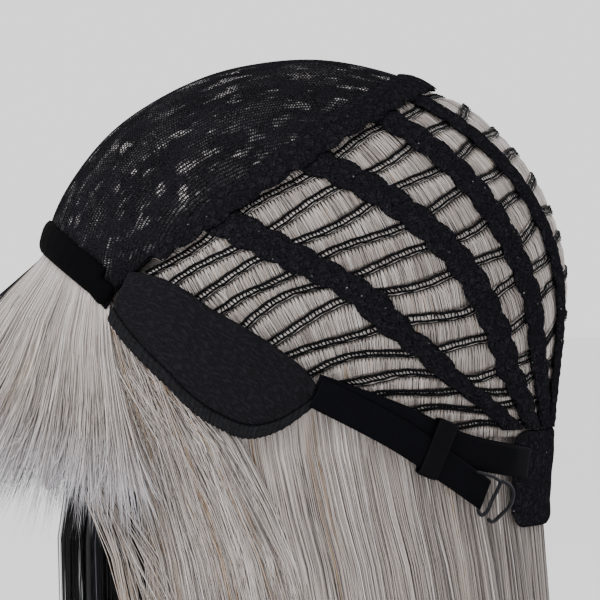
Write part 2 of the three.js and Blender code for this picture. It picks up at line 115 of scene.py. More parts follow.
def mixed(low: Array | float, high: Array | float, share: Array | float) -> Array:
    """Values between low and high."""
    return low + (high - low) * share


def crowned(share: Array, power: float = 4) -> Array:
    """1 in the middle of a width and 0 at its edges; a higher power makes the rounding tighter."""
    return 1 - np.abs(2 * share - 1) ** power


@dataclass(frozen=True)
class Lifts:
    """How far the layers' faces lie outward of the cap's form, in millimetres."""

    lace_inner: float = -1.6
    lace_outer: float = 0.0
    track_inner: float = -4.1
    track_outer: float = -2.1
    hair_inner: float = -8.9
    hair_outer: float = -4.9
    trim_inner: float = 0.5
    strap_inner: float = 0.5
    strap_outer: float = 2.0
    adjuster_inner: float = 2.3
    adjuster_outer: float = 3.8


LIFTS = Lifts()


@dataclass(frozen=True)
class CapForm:
    """The cap's form: an egg-shaped dome over its widest level, and a wall that draws in below it."""

    half_width: float = 78
    half_length: float = 102
    crown_height: float = 90
    side_reach: float = 145
    tuck_share: float = 0.095
    tuck_depth: float = 45
    widest_level: float = -81.1
    nape_share: float = 0.3496
    nape_gap: float = 0.3
    lines: Columns = Columns(
        "station middle end_forward end_height sag",
        (
            (-1, 169.4, -0.718, -0.046, 0),
            (0, 62.8, -0.56, 0.14, -0.015),
            (0.33, 37, -0.29, -0.045, 0.06),
            (0.61, 14, -0.07, -0.17, 0.14),
            (0.8, -3.4, 0.127, -0.228, 0.1),
            (1, -20.46, 0.5, -0.3496, 0),
        ),
    )

    @property
    def nape_depth(self) -> float:
        """How far below the widest level the nape panel starts."""
        return self.nape_share * self.side_reach + self.nape_gap

    def on_wall(self, flat_x: Array, flat_y: Array, depth: Array, lift: Array) -> Array:
        """Points on the wall below the widest level.

        Args:
            flat_x: the flat direction's share along X.
            flat_y: the flat direction's share along Y.
            depth: how far below the widest level.
            lift: how far outward of the form.

        Returns:
            The points, in millimetres.
        """
        ratio = (np.asarray(depth) / self.tuck_depth) ** 2
        waist = 1 - self.tuck_share * ratio / (1 + ratio)
        x = (self.half_width * waist + lift) * flat_x
        y = (self.half_length * waist + lift) * flat_y
        return np.stack(np.broadcast_arrays(x, y, self.widest_level - depth), -1)

    def on_form(self, direction: Array, lift: Array) -> Array:
        """Points on the form in unit directions from the middle of its widest level.

        Args:
            direction: unit directions.
            lift: how far outward of the form.

        Returns:
            The points, in millimetres.
        """
        x, y, z = np.moveaxis(direction, -1, 0)
        flat = np.maximum(np.hypot(x, y), 1e-9)
        wall = self.on_wall(x / flat, y / flat, np.maximum(-z, 0) * self.side_reach, lift)
        dome = np.stack(
            np.broadcast_arrays(
                (self.half_width + lift) * x,
                (self.half_length + lift) * y,
                self.widest_level + (self.crown_height + lift) * z,
            ),
            -1,
        )
        return np.where(z[..., None] < 0, wall, dome)

    def direction(self, station: Array, across: Array) -> Array:
        """Unit directions of places on the cap.

        Args:
            station: -1 at the forehead rim, 0 at the crown seam and 1 at the nape.
            across: -1 at the right ear, 0 in the middle and 1 at the left ear.

        Returns:
            The directions.
        """
        station, across = np.broadcast_arrays(np.asarray(station, float), across)
        angle = np.radians(self.lines.at("middle", station))
        middle = np.stack([np.cos(angle), np.sin(angle)], -1)
        end = np.stack([self.lines.at(name, station) for name in ("end_forward", "end_height")], -1)
        run = end - middle
        reach = np.linalg.norm(run, axis=-1)
        run = unit(run)
        radius = -(middle * run).sum(-1)
        turn = across * np.arccos(np.clip(1 - reach / radius, -1, 1))
        inward = radius * (1 - np.cos(turn))
        sag = self.lines.at("sag", station) * np.sin(np.pi * across) ** 2
        y = middle[..., 0] + run[..., 0] * inward
        z = middle[..., 1] + run[..., 1] * inward - sag
        return unit(np.stack([radius * np.sin(turn), y, z], -1))

    def at(self, station: Array, across: Array, lift: Array) -> Array:
        """Points on the cap at a station, a share across and a lift."""
        return self.on_form(self.direction(station, across), lift)

    def outward(self, station: Array, across: Array) -> Array:
        """The way out of the cap at places on it."""
        return unit(self.at(station, across, 1.0) - self.at(station, across, 0.0))

    def station_length(self, station: Array | float, across: Array | float, sense: int = 1) -> Array:
        """Millimetres of cap along one unit of station, toward a sense.

        Args:
            station: stations on the cap.
            across: shares across at those places.
            sense: 1 to measure toward the nape and -1 toward the forehead.

        Returns:
            The length at each place.
        """
        step = 0.005 * sense
        run = self.at(station, across, 0.0) - self.at(np.asarray(station) + step, across, 0.0)
        return np.linalg.norm(run, axis=-1) / abs(step)

    def across_length(self, station: Array, across: Array) -> Array:
        """Millimetres of cap along one unit of across.

        Args:
            station: stations on the cap.
            across: shares across at those places.

        Returns:
            The length at each place.
        """
        step = 0.005
        run = self.at(station, across - step, 0.0) - self.at(station, across + step, 0.0)
        return np.linalg.norm(run, axis=-1) / (2 * step)


CAP = CapForm()


class Body:
    """The points, faces and texture places of one piece while it is put together, in millimetres."""

    def __init__(self) -> None:
        """Starts empty."""
        self.points: list[Array] = []
        self.places: list[Array] = []
        self.faces: list[Array] = []
        self.finishes: list[int] = []
        self.finish = 0
        self.count = 0

    def add(self, points: Array, places: Array, *faces: Array) -> None:
        """Adds points and the faces between them.

        Args:
            points: the points.
            places: a texture place for each point.
            faces: arrays of corner numbers, one array for each number of corners.
        """
        self.points.append(points.reshape(-1, 3))
        self.places.append(places.reshape(-1, 2))
        for corners in faces:
            self.faces.append(corners + self.count)
            self.finishes += [self.finish] * len(corners)
        self.count += len(self.points[-1])

    def sheet(self, outer: Array, inner: Array, places: Array) -> None:
        """Adds a closed sheet between two grids of points.

        Args:
            outer: the outer face, shape (rows, columns, 3).
            inner: the inner face, of the same shape.
            places: the texture place of each point of the grid.
        """
        rows, columns = outer.shape[:2]
        index = np.arange(rows * columns).reshape(rows, columns)
        top = np.stack([index[:-1, :-1], index[1:, :-1], index[1:, 1:], index[:-1, 1:]], -1).reshape(-1, 4)
        rim = np.concatenate([index[0, :-1], index[:-1, -1], index[-1, :0:-1], index[:0:-1, 0]])
        ahead = np.roll(rim, -1)
        size = index.size
        side = np.stack([rim, ahead, ahead + size, rim + size], -1)
        quads = np.concatenate([top, top[:, ::-1] + size, side])
        points = np.concatenate([outer.reshape(-1, 3), inner.reshape(-1, 3)])
        a, b, c, d = (points[quads[:, corner]] for corner in range(4))
        volume = (a * np.cross(b, c)).sum() + (a * np.cross(c, d)).sum()
        if volume < 0:
            quads = quads[:, ::-1]
        self.add(points, np.concatenate([places.reshape(-1, 2)] * 2), quads)

    def hairs(self, paths: Array, outward: Array, width: Array, tone: Array) -> None:
        """Adds tapered three-sided hairs.

        Args:
            paths: their middle lines, shape (hairs, stops, 3).
            outward: the way their ridge points, at each stop or the same for all.
            width: their width at each stop.
            tone: a colour tone for each hair, from 0 to 1.
        """
        ahead = unit(np.gradient(paths, axis=1))
        flat = unit(np.cross(ahead, outward))
        up = np.cross(flat, ahead)
        half = np.broadcast_to(width, paths.shape[:2])[..., None] / 2
        corners = np.stack([paths + flat * half, paths + up * half, paths - flat * half], 2)[:, :-1]
        hairs, rings = corners.shape[:2]
        size = 3 * rings + 1
        points = np.concatenate([corners.reshape(hairs, -1, 3), paths[:, -1:]], 1)
        sides = [(0, 1), (1, 2), (2, 0)]
        steps = range(0, 3 * (rings - 1), 3)
        quads = [(ring + a, ring + 3 + a, ring + 3 + b, ring + b) for ring in steps for a, b in sides]
        last = 3 * (rings - 1)
        trios = [(last + a, size - 1, last + b) for a, b in sides] + [(0, 1, 2)]
        starts = (np.arange(hairs) * size)[:, None, None]
        along = np.append(np.repeat(shares(rings)[:-1], 3), 1.0)
        places = np.stack(np.broadcast_arrays(tone[:, None], along[None]), -1)
        self.add(
            points,
            places,
            (np.array(quads)[None] + starts).reshape(-1, 4),
            (np.array(trios)[None] + starts).reshape(-1, 3),
        )

    def tube(self, path: Array, outward: Array, radius: Array | float, sides: int = 6) -> None:
        """Adds a closed round tube along a path.

        Args:
            path: its middle line.
            outward: a direction across the path, at each point or the same for all.
            radius: its radius, at each point or the same for all.
            sides: how many sides it has.
        """
        ahead = unit(np.gradient(path, axis=0))
        flat = unit(np.cross(ahead, outward))
        up = np.cross(flat, ahead)
        angle = np.arange(sides) * 2 * np.pi / sides
        round_radius = np.broadcast_to(radius, len(path))[:, None, None]
        ring = flat[:, None] * np.cos(angle)[:, None] + up[:, None] * np.sin(angle)[:, None]
        points = path[:, None] + ring * round_radius
        index = np.arange(len(path) * sides).reshape(len(path), sides)
        ahead_index = np.roll(index, -1, axis=1)
        quads = np.stack([index[:-1], index[1:], ahead_index[1:], ahead_index[:-1]], -1).reshape(-1, 4)
        length = np.append(0, np.cumsum(np.linalg.norm(np.diff(path, axis=0), axis=1)))
        places = np.stack(np.broadcast_arrays(np.arange(sides) / sides, length[:, None]), -1)
        self.add(points, places, quads, index[:1], index[-1:, ::-1])

    def turned(self, side: Side) -> "Body":
        """Turns the body, which is built on the left, to a side.

        Args:
            side: the side that it belongs to.

        Returns:
            The body itself.
        """
        if side is Side.RIGHT:
            self.points = [points * (-1, 1, 1) for points in self.points]
            self.faces = [faces[:, ::-1] for faces in self.faces]
        return self

    def piece(self, name: str, slot: str, *finishes: "Finish") -> bpy.types.Object:
        """Makes the object, which moves with the wig.

        Args:
            name: its name.
            slot: a material slot's name; not used.
            finishes: its finishes.

        Returns:
            The new object.
        """
        mesh = bpy.data.meshes.new(name)
        points = np.concatenate(self.points) * MM
        mesh.from_pydata(points.tolist(), [], [face for faces in self.faces for face in faces.tolist()])
        mesh.polygons.foreach_set("use_smooth", [True] * len(mesh.polygons))
        mesh.polygons.foreach_set("material_index", self.finishes)
        corners = np.empty(len(mesh.loops), np.int32)
        mesh.loops.foreach_get("vertex_index", corners)
        mesh.uv_layers.new(name="Place").data.foreach_set("uv", np.concatenate(self.places)[corners].ravel())
        for finish in finishes:
            mesh.materials.append(finish.material())
        made = bpy.data.objects.new(name, mesh)
        bpy.context.scene.collection.objects.link(made)
        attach(made, BODY)
        LOG.info("%s: %d faces", name, len(mesh.polygons))
        return made


class Wire:
    """A value in a material, on which Python's operators add Math nodes."""

    def __init__(self, board: "Board", socket: bpy.types.NodeSocket) -> None:
        """Wraps a socket that gives a value."""
        self.board = board
        self.socket = socket

    def __add__(self, other: "Wire | float") -> "Wire":
        """The sum."""
        return self.board.maths("ADD", self, other)

    def __radd__(self, other: float) -> "Wire":
        """The sum, from the right."""
        return self.board.maths("ADD", other, self)

    def __sub__(self, other: "Wire | float") -> "Wire":
        """The difference."""
        return self.board.maths("SUBTRACT", self, other)

    def __rsub__(self, other: float) -> "Wire":
        """The difference, from the right."""
        return self.board.maths("SUBTRACT", other, self)

    def __mul__(self, other: "Wire | float") -> "Wire":
        """The product."""
        return self.board.maths("MULTIPLY", self, other)

    def __rmul__(self, other: float) -> "Wire":
        """The product, from the right."""
        return self.board.maths("MULTIPLY", other, self)

    def __truediv__(self, other: "Wire | float") -> "Wire":
        """The quotient."""
        return self.board.maths("DIVIDE", self, other)


class Board:
    """The nodes of one material."""

    def __init__(self, name: str) -> None:
        """Starts an empty material of that name.

        Args:
            name: the material's name.
        """
        self.material = bpy.data.materials.new(name)
        self.material.use_nodes = True
        self.tree = self.material.node_tree
        self.tree.nodes.clear()

    def node(
        self, kind: str, settings: dict[str, object], sockets: dict[str | int, object]
    ) -> bpy.types.Node:
        """Adds a node.

        Args:
            kind: the node's type.
            settings: its settings, which are set first; stops are a ramp's places and colours.
            sockets: values or wires for its inputs.

        Returns:
            The node.
        """
        made = self.tree.nodes.new(kind)
        for name, value in settings.items():
            if name == "stops":
                self.set_stops(made.color_ramp, value)
            else:
                setattr(made, name, value)
        for key, value in sockets.items():
            if isinstance(value, Wire):
                self.tree.links.new(value.socket, made.inputs[key])
            else:
                made.inputs[key].default_value = value
        return made

    @staticmethod
    def set_stops(ramp: bpy.types.ColorRamp, stops: tuple[tuple[float, Colour], ...]) -> None:
        """Gives a ramp its stops.

        Args:
            ramp: the ramp.
            stops: the place and colour of each stop.
        """
        while len(ramp.elements) < len(stops):
            ramp.elements.new(1.0)
        for element, (place, colour) in zip(ramp.elements, stops):
            element.position = place
            element.color = (*colour, 1.0)

    def maths(self, operation: str, *values: "Wire | float") -> Wire:
        """A Math node's result."""
        made = self.node("ShaderNodeMath", {"operation": operation}, dict(enumerate(values)))
        return Wire(self, made.outputs[0])

    def solid(self, stretch: tuple[float, float, float] = (1, 1, 1)) -> Wire:
        """Places in the piece's own space, in metres, stretched."""
        source = self.node("ShaderNodeTexCoord", {}, {})
        return self.stretched(Wire(self, source.outputs["Object"]), stretch)

    def stretched(self, vector: Wire, stretch: tuple[float, float, float]) -> Wire:
        """A vector times another."""
        return self.vector_maths("MULTIPLY", vector, stretch)

    def vector_maths(self, operation: str, *values: "Wire | tuple[float, float, float]") -> Wire:
        """A Vector Math node's result."""
        made = self.node("ShaderNodeVectorMath", {"operation": operation}, dict(enumerate(values)))
        return Wire(self, made.outputs[0])

    def along(self, axis: int) -> Wire:
        """The place along an axis of the wig's own space, in metres."""
        return Wire(self, self.node("ShaderNodeSeparateXYZ", {}, {0: self.solid()}).outputs[axis])

    def silver_side(self) -> Wire:
        """1 over the silver half of the hair and 0 over the black half."""
        return self.step(self.along(0), -0.004, 0.004)

    def place(self) -> tuple[Wire, Wire]:
        """The two numbers of the texture place.

        Returns:
            The first number and the second.
        """
        source = self.node("ShaderNodeUVMap", {"uv_map": "Place"}, {})
        parts = self.node("ShaderNodeSeparateXYZ", {}, {0: Wire(self, source.outputs[0])})
        return Wire(self, parts.outputs[0]), Wire(self, parts.outputs[1])

    def vector(self, x: Wire | float, y: Wire | float, z: Wire | float = 0.0) -> Wire:
        """A vector from three values."""
        made = self.node("ShaderNodeCombineXYZ", {}, {0: x, 1: y, 2: z})
        return Wire(self, made.outputs[0])

    def noise(self, vector: Wire, scale: float, detail: float = 2.0, roughness: float = 0.5) -> Wire:
        """Soft noise from 0 to 1."""
        sockets = {"Vector": vector, "Scale": scale, "Detail": detail, "Roughness": roughness}
        return Wire(self, self.node("ShaderNodeTexNoise", {}, sockets).outputs["Fac"])

    def cells(self, vector: Wire, scale: float, randomness: float = 1.0) -> Wire:
        """Distance to the nearest of scattered points."""
        sockets = {"Vector": vector, "Scale": scale, "Randomness": randomness}
        return Wire(self, self.node("ShaderNodeTexVoronoi", {}, sockets).outputs["Distance"])

    def step(self, value: Wire, low: float, high: float) -> Wire:
        """0 below low and 1 above high, with a smooth rise; low may be the higher one.

        Args:
            value: what is compared.
            low: where the rise starts.
            high: where it ends.

        Returns:
            The stepped value.
        """
        sockets = {"Value": value, "From Min": low, "From Max": high}
        made = self.node("ShaderNodeMapRange", {"interpolation_type": "SMOOTHSTEP"}, sockets)
        return Wire(self, made.outputs[0])

    def ramp(self, value: Wire, stops: tuple[tuple[float, Colour], ...]) -> Wire:
        """A colour from a value."""
        return Wire(self, self.node("ShaderNodeValToRGB", {"stops": stops}, {"Fac": value}).outputs["Color"])

    def blend(self, factor: Wire | float, first: Wire | Colour, second: Wire | Colour) -> Wire:
        """Two colours mixed by a factor.

        Args:
            factor: 0 for the first colour and 1 for the second.
            first: the first colour.
            second: the second colour.

        Returns:
            The mixed colour.
        """
        ends = [end if isinstance(end, Wire) else (*end, 1.0) for end in (first, second)]
        sockets = {0: factor, 6: ends[0], 7: ends[1]}
        made = self.node("ShaderNodeMix", {"data_type": "RGBA"}, sockets)
        return Wire(self, made.outputs[2])

    def surface(
        self,
        colour: Wire,
        roughness: Wire,
        relief: Wire | None = None,
        depth: float = 0.0,
        constants: dict[str, object] | None = None,
    ) -> None:
        """Ends the material with its shader.

        Args:
            colour: the base colour.
            roughness: the roughness.
            relief: the height of a fine relief, from 0 to 1.
            depth: the relief's depth, in millimetres.
            constants: values that are the same all over.
        """
        sockets = {"Base Color": colour, "Roughness": roughness, **(constants or {})}
        if relief is not None:
            relief_sockets = {"Strength": 1.0, "Distance": depth * MM, "Height": relief}
            bump = self.node("ShaderNodeBump", {}, relief_sockets)
            sockets["Normal"] = Wire(self, bump.outputs[0])
        shader = self.node("ShaderNodeBsdfPrincipled", {}, sockets)
        end = self.node("ShaderNodeOutputMaterial", {}, {})
        self.tree.links.new(shader.outputs[0], end.inputs[0])


@dataclass(frozen=True)
class Finish:
    """A finish of the wig's pieces."""

    name: str

    @functools.cache
    def material(self) -> bpy.types.Material:
        """The finish's material, made once.

        Returns:
            The material.
        """
        board = Board(self.name)
        self.paint(board)
        return board.material

    def paint(self, board: Board) -> None:
        """Sets the nodes."""
        raise NotImplementedError


@dataclass(frozen=True)
class Lace(Finish):
    """Black woolly lace: soft fibres, darker flowers, and hair that glints through its holes."""

    dark: Colour = (0.003, 0.003, 0.0038)
    light: Colour = (0.019, 0.0185, 0.0225)
    glint: Colour = (0.8, 0.75, 0.73)
    fibre_scale: float = 1500
    petal_scale: float = 330

    def paint(self, board: Board) -> None:
        """Sets the nodes.

        Args:
            board: the material's nodes.
        """
        solid = board.solid()
        fibre = board.noise(solid, self.fibre_scale, 4, 0.7)
        bent = board.noise(solid, 220, 2, 0.5)
        warped = board.vector_maths("ADD", solid, board.vector(bent * 0.003, bent * -0.003, bent * 0.002))
        petals = board.cells(warped, self.petal_scale, 0.9)
        heart = board.step(petals, 0.66, 0.3)
        knit = board.cells(solid, self.fibre_scale * 0.55, 0.8)
        shade = board.step(fibre, 0.38, 0.68) * (0.45 + heart * 0.45) + board.step(knit, 0.3, 0.6) * 0.12
        sparks = board.step(board.cells(solid, 180), 0.085, 0.03) * board.step(fibre, 0.45, 0.6)
        glints = sparks * board.silver_side() * 0.35
        colour = board.blend(glints, board.blend(shade, self.dark, self.light), self.glint)
        relief = fibre * 0.45 + knit * 0.3 + heart * 1.2
        board.surface(colour, 0.85 + fibre * 0.12, relief, 0.6, {"Specular IOR Level": 0.0})


@dataclass(frozen=True)
class NetLace(Finish):
    """Fine black net with flowers in it: hair shows through its rows of holes by patches."""

    dark: Colour = (0.0022, 0.0022, 0.0028)
    light: Colour = (0.0165, 0.016, 0.0195)
    glint: Colour = (0.85, 0.8, 0.78)
    course: float = 1.15
    wale: float = 1.6

    def paint(self, board: Board) -> None:
        """Sets the nodes.

        Args:
            board: the material's nodes.
        """
        solid = board.solid()
        fibre = board.noise(solid, 1500, 4, 0.7)
        flower = board.step(board.noise(solid, 75, 3, 0.55), 0.44, 0.6)
        threads, hole = self.net(board)
        shade = board.step(fibre, 0.4, 0.68) * 0.6 + threads * 0.25 + flower * 0.12
        dots = hole * self.patches(board, flower)
        colour = board.blend(dots, board.blend(shade, self.dark, self.light), self.glint)
        relief = fibre * 0.6 + threads * 0.4 + flower * 0.7 - dots * 0.6
        board.surface(colour, 0.85 + fibre * 0.12, relief, 0.35, {"Specular IOR Level": 0.0})

    def net(self, board: Board) -> tuple[Wire, Wire]:
        """The net's threads, and its holes in rows that run fore and aft.

        Args:
            board: the material's nodes.

        Returns:
            1 on the threads between the rows, and 1 on the holes.
        """
        u, v = board.place()
        waver = board.noise(board.vector(u / 9, v / 9), 1.0, 2) * 1.6
        row = (v + waver) / self.wale
        x = board.maths("FRACT", u / self.course + board.maths("FLOOR", row) * 0.5) - 0.5
        y = board.maths("FRACT", row) - 0.5
        hole = board.step(x * x + y * y * 1.3, 0.16, 0.05)
        return board.step(y * y, 0.1, 0.24), hole

    @staticmethod
    def patches(board: Board, flower: Wire) -> Wire:
        """How brightly hair shows through the holes.

        Args:
            board: the material's nodes.
            flower: where the flowers close the net.

        Returns:
            1 where it shows clearly.
        """
        u, v = board.place()
        patch = board.step(board.noise(board.vector(u / 12, v / 6), 1.0, 2, 0.5), 0.54, 0.67)
        bright = board.step(board.noise(board.vector(u / 24, v / 18, 9.0), 1.0, 1, 0.5), 0.42, 0.66)
        faint = board.step(board.noise(board.vector(u / 26, v / 14, 4.0), 1.0, 2, 0.5), 0.45, 0.62)
        lively = board.step(board.noise(board.vector(u * 1.1, v * 1.1, 7.0), 1.0, 1), 0.35, 0.68)
        shown = board.step(board.along(2), -0.078, -0.062) * board.silver_side()
        return (0.014 + faint * 0.05 + patch * (0.2 + bright * 0.75)) * lively * (1 - flower * 0.6) * shown


@dataclass(frozen=True)
class Cloth(Finish):
    """Woven or brushed cloth, with ribs along one way of its texture places."""

    dark: Colour = (0.0008, 0.0008, 0.001)
    light: Colour = (0.0025, 0.0025, 0.003)
    rib: float = 1.2
    lean: float = 0.0
    wander: float = 0.5
    crinkle: float = 0.0
    rib_depth: float = 0.12
    fuzz: float = 0.4
    rough: float = 0.85
    specular: float = 0.04

    def paint(self, board: Board) -> None:
        """Sets the nodes.

        Args:
            board: the material's nodes.
        """
        u, v = board.place()
        solid = board.solid()
        fuzz = board.noise(solid, 1700, 4, 0.7)
        patches = board.noise(solid, 90, 2, 0.5)
        waver = board.noise(board.vector(u / 6, v / 6), 1.0, 3) * self.wander
        turn = (u + v * self.lean) / self.rib + waver
        ribs = board.maths("SINE", turn * (2 * math.pi)) * 0.5 + 0.5
        creases = board.noise(board.vector(u / 3.2, v / 0.9), 1.0, 3, 0.6)
        folds_and_sheen = board.step(creases, 0.36, 0.62) * self.crinkle
        # painted sheen: the creases are drawn lighter in colour as well as raised in the relief
        shade = ribs * (1 - self.fuzz) * 0.55 + fuzz * self.fuzz + patches * 0.25 + folds_and_sheen * 0.6
        relief = ribs * (1 - self.fuzz) + fuzz * self.fuzz + folds_and_sheen * 2.2
        colour = board.blend(shade, self.dark, self.light)
        constants = {"Specular IOR Level": self.specular}
        board.surface(colour, self.rough + fuzz * 0.12 - 0.06, relief, self.rib_depth, constants)


@dataclass(frozen=True)
class Thread(Finish):
    """Twisted sewing thread."""

    dark: Colour = (0.0008, 0.0008, 0.001)
    light: Colour = (0.0055, 0.0055, 0.007)
    twist: float = 0.8

    def paint(self, board: Board) -> None:
        """Sets the nodes.

        Args:
            board: the material's nodes.
        """
        u, v = board.place()
        plies = board.maths("SINE", (v / self.twist + u) * (2 * math.pi)) * 0.5 + 0.5
        fuzz = board.noise(board.solid(), 2500, 3, 0.6)
        colour = board.blend(plies * 0.5 + fuzz * 0.5, self.dark, self.light)
        board.surface(colour, 0.5 + fuzz * 0.2, plies * 0.7 + fuzz * 0.3, 0.12, {"Specular IOR Level": 0.05})


@dataclass(frozen=True)
class Hair(Finish):
    """Straight fibre hair: the texture place gives a tone for each hair and how far down it is."""

    stops: tuple[tuple[float, Colour], ...] = ()
    # painted shade: root is the dark colour each hair takes toward its root, where it comes out from under
    # the tracks, trims and cap
    root: Colour = (0.02, 0.02, 0.02)
    root_shade_reach: float = 0.04
    tip: Colour = (0.5, 0.49, 0.52)
    tip_share: float = 0.0
    rough: float = 0.36
    specular: float = 0.5
    drift: float = 0.16

    def paint(self, board: Board) -> None:
        """Sets the nodes.

        Args:
            board: the material's nodes.
        """
        tone, along = board.place()
        grain = board.noise(board.solid((700, 700, 40)), 1.0, 2, 0.5)
        bands = board.noise(board.solid((60, 60, 22)), 1.0, 2, 0.5)
        colour = board.ramp(tone + (grain - 0.5) * self.drift + (bands - 0.5) * self.drift, self.stops)
        # painted shade: each hair darkens toward its root
        colour = board.blend(board.step(along, self.root_shade_reach, 0.0) * 0.8, colour, self.root)
        colour = board.blend(board.step(along, 0.6, 0.95) * self.tip_share, colour, self.tip)
        fine = board.noise(board.solid((2200, 2200, 90)), 1.0, 2, 0.6)
        board.surface(colour, self.rough + grain * 0.18, fine, 0.15, {"Specular IOR Level": self.specular})


@dataclass(frozen=True)
class Plastic(Finish):
    """Dark glossy plastic."""

    dark: Colour = (0.003, 0.003, 0.004)
    light: Colour = (0.009, 0.009, 0.012)

    def paint(self, board: Board) -> None:
        """Sets the nodes.

        Args:
            board: the material's nodes.
        """
        cloud = board.noise(board.solid(), 260, 3, 0.5)
        colour = board.blend(cloud, self.dark, self.light)
        board.surface(colour, 0.12 + cloud * 0.1, cloud, 0.05, {"Specular IOR Level": 0.1})


@dataclass(frozen=True)
class Floor(Finish):
    """The pale studio floor."""

    tone: Colour = (0.9, 0.9, 0.9)

    def paint(self, board: Board) -> None:
        """Sets the nodes.

        Args:
            board: the material's nodes.
        """
        mottle = board.noise(board.solid(), 3, 2, 0.5)
        shade = tuple(0.99 * part for part in self.tone)
        colour = board.blend(mottle, self.tone, shade)
        board.surface(colour, 0.85 + mottle * 0.05, constants={"Specular IOR Level": 0.1})


FRONT_LACE = NetLace("front_lace")
WOOLLY_LACE = Lace("woolly_lace")
HEM_CLOTH = Cloth("hem_cloth", fuzz=0.9, rib_depth=0.2, rough=0.95, specular=0.02)
TAB_CLOTH = Cloth(
    "tab_cloth",
    light=(0.0105, 0.0103, 0.0127),
    rib=1.1,
    lean=0.2,
    wander=1.1,
    crinkle=0.8,
    fuzz=0.75,
    rib_depth=0.3,
)
BINDING = Cloth(
    "satin_binding",
    light=(0.011, 0.011, 0.013),
    rib=2.8,
    crinkle=0.6,
    rib_depth=0.1,
    rough=0.6,
    fuzz=0.5,
    specular=0.03,
)
ELASTIC = Cloth(
    "strap_elastic",
    light=(0.006, 0.006, 0.0078),
    rib=0.9,
    rib_depth=0.06,
    rough=0.5,
    fuzz=0.4,
    specular=0.006,
)
KEEPER_RIBBON = replace(
    ELASTIC, name="keeper_ribbon", light=(0.008, 0.008, 0.0095), rib=0.6, fuzz=0.3, specular=0.01
)
TRACK_THREAD = Thread("track_thread")
HOOK_PLASTIC = Plastic("hook_plastic")
SILVER = Hair(
    "silver_hair",
    stops=(
        (0.0, (0.05, 0.044, 0.042)),
        (0.16, (0.14, 0.124, 0.117)),
        (0.4, (0.29, 0.249, 0.23)),
        (0.62, (0.41, 0.362, 0.336)),
        (0.78, (0.58, 0.545, 0.53)),
        (0.88, (0.31, 0.22, 0.15)),
        (1.0, (0.18, 0.107, 0.06)),
    ),
    root=(0.05, 0.045, 0.043),
)
BLACK = Hair(
    "black_hair",
    stops=(
        (0.0, (0.0015, 0.0015, 0.002)),
        (0.5, (0.004, 0.004, 0.006)),
        (0.78, (0.012, 0.012, 0.016)),
        # painted highlight: the lightest tones are glossy grey-violet and near-white highlights on the black
        # hair
        (0.9, (0.06, 0.057, 0.075)),
        (1.0, (0.3, 0.29, 0.32)),
    ),
    root=(0.0015, 0.0015, 0.002),
    rough=0.24,
    specular=0.25,
    drift=0.1,
)
SILVER_FRINGE = replace(SILVER, name="silver_fringe", tip=(0.6, 0.59, 0.63), tip_share=0.85)


def hair_finish(side: Side) -> Hair:
    """The hair's finish on a side."""
    return SILVER if side is Side.LEFT else BLACK


def fringe_finish(side: Side) -> Hair:
    """The bangs' finish on a side."""
    return SILVER_FRINGE if side is Side.LEFT else BLACK


def hair_slot(side: Side) -> str:
    """The hair's material slot on a side."""
    return "silver_hair" if side is Side.LEFT else "black_hair"


@dataclass
class Studio:
    """The camera at the photograph's angle, a pale floor and soft lights."""

    distance: float = 1.3
    aim_y: float = -0.0015
    aim_z: float = -0.0834
    lens: float = 202.8
    floor_level: float = -0.425
    floor_half: float = 30.0
    brightness: float = 1.5

    def build(self) -> None:
        """Makes the camera, the floor and the lights."""
        data = bpy.data.cameras.new("camera")
        data.lens = self.lens
        data.sensor_width = 36
        camera = bpy.data.objects.new("camera", data)
        camera.location = (self.distance, self.aim_y, self.aim_z)
        camera.rotation_euler = (math.pi / 2, 0, math.pi / 2)
        bpy.context.scene.collection.objects.link(camera)
        bpy.context.scene.camera = camera
        self.lay_floor()
        self.hang_light("key", (1.3, -1.5, 1.2), 1.0, 34)
        self.hang_light("front", (0.2, -1.9, 0.3), 1.2, 10)
        self.hang_light("back", (-1.2, 1.6, 0.9), 1.4, 14)
        self.light_world()

    def lay_floor(self) -> None:
        """Lays the floor."""
        mesh = bpy.data.meshes.new("floor")
        half = self.floor_half
        corners = [(x * half, y * half, self.floor_level) for x, y in ((-1, -1), (1, -1), (1, 1), (-1, 1))]
        mesh.from_pydata(corners, [], [(0, 1, 2, 3)])
        mesh.materials.append(Floor("floor").material())
        floor = bpy.data.objects.new("floor", mesh)
        bpy.context.scene.collection.objects.link(floor)

    def hang_light(self, name: str, spot: tuple[float, float, float], size: float, power: float) -> None:
        """Hangs a soft light that faces the wig.

        Args:
            name: its name.
            spot: where it hangs.
            size: its side.
            power: its power, in watts.
        """
        data = bpy.data.lights.new(name, "AREA")
        data.size = size
        data.energy = power
        light = bpy.data.objects.new(name, data)
        light.location = spot
        aim = -np.array(spot) + (0, 0, self.aim_z)
        light.rotation_euler = (math.acos(-aim[2] / np.linalg.norm(aim)), 0, math.atan2(-aim[0], aim[1]))
        bpy.context.scene.collection.objects.link(light)

    def light_world(self) -> None:
        """Surrounds the wig with even white light."""
        world = bpy.data.worlds.new("studio")
        world.use_nodes = True
        background = world.node_tree.nodes["Background"]
        background.inputs["Color"].default_value = (1, 1, 1, 1)
        background.inputs["Strength"].default_value = self.brightness
        bpy.context.scene.world = world


def cap_places(station: Array, across: Array) -> Array:
    """Texture places on the cap in millimetres: fore and aft, and away from the middle line.

    Args:
        station: stations on the cap.
        across: shares across at those places.

    Returns:
        The texture places.
    """
    x, y, z = np.moveaxis(CAP.direction(station, across), -1, 0)
    radius = (CAP.half_width + CAP.half_length) / 2
    return np.stack([np.arctan2(z, -y) * radius, np.arcsin(np.clip(x, -1, 1)) * radius], -1)


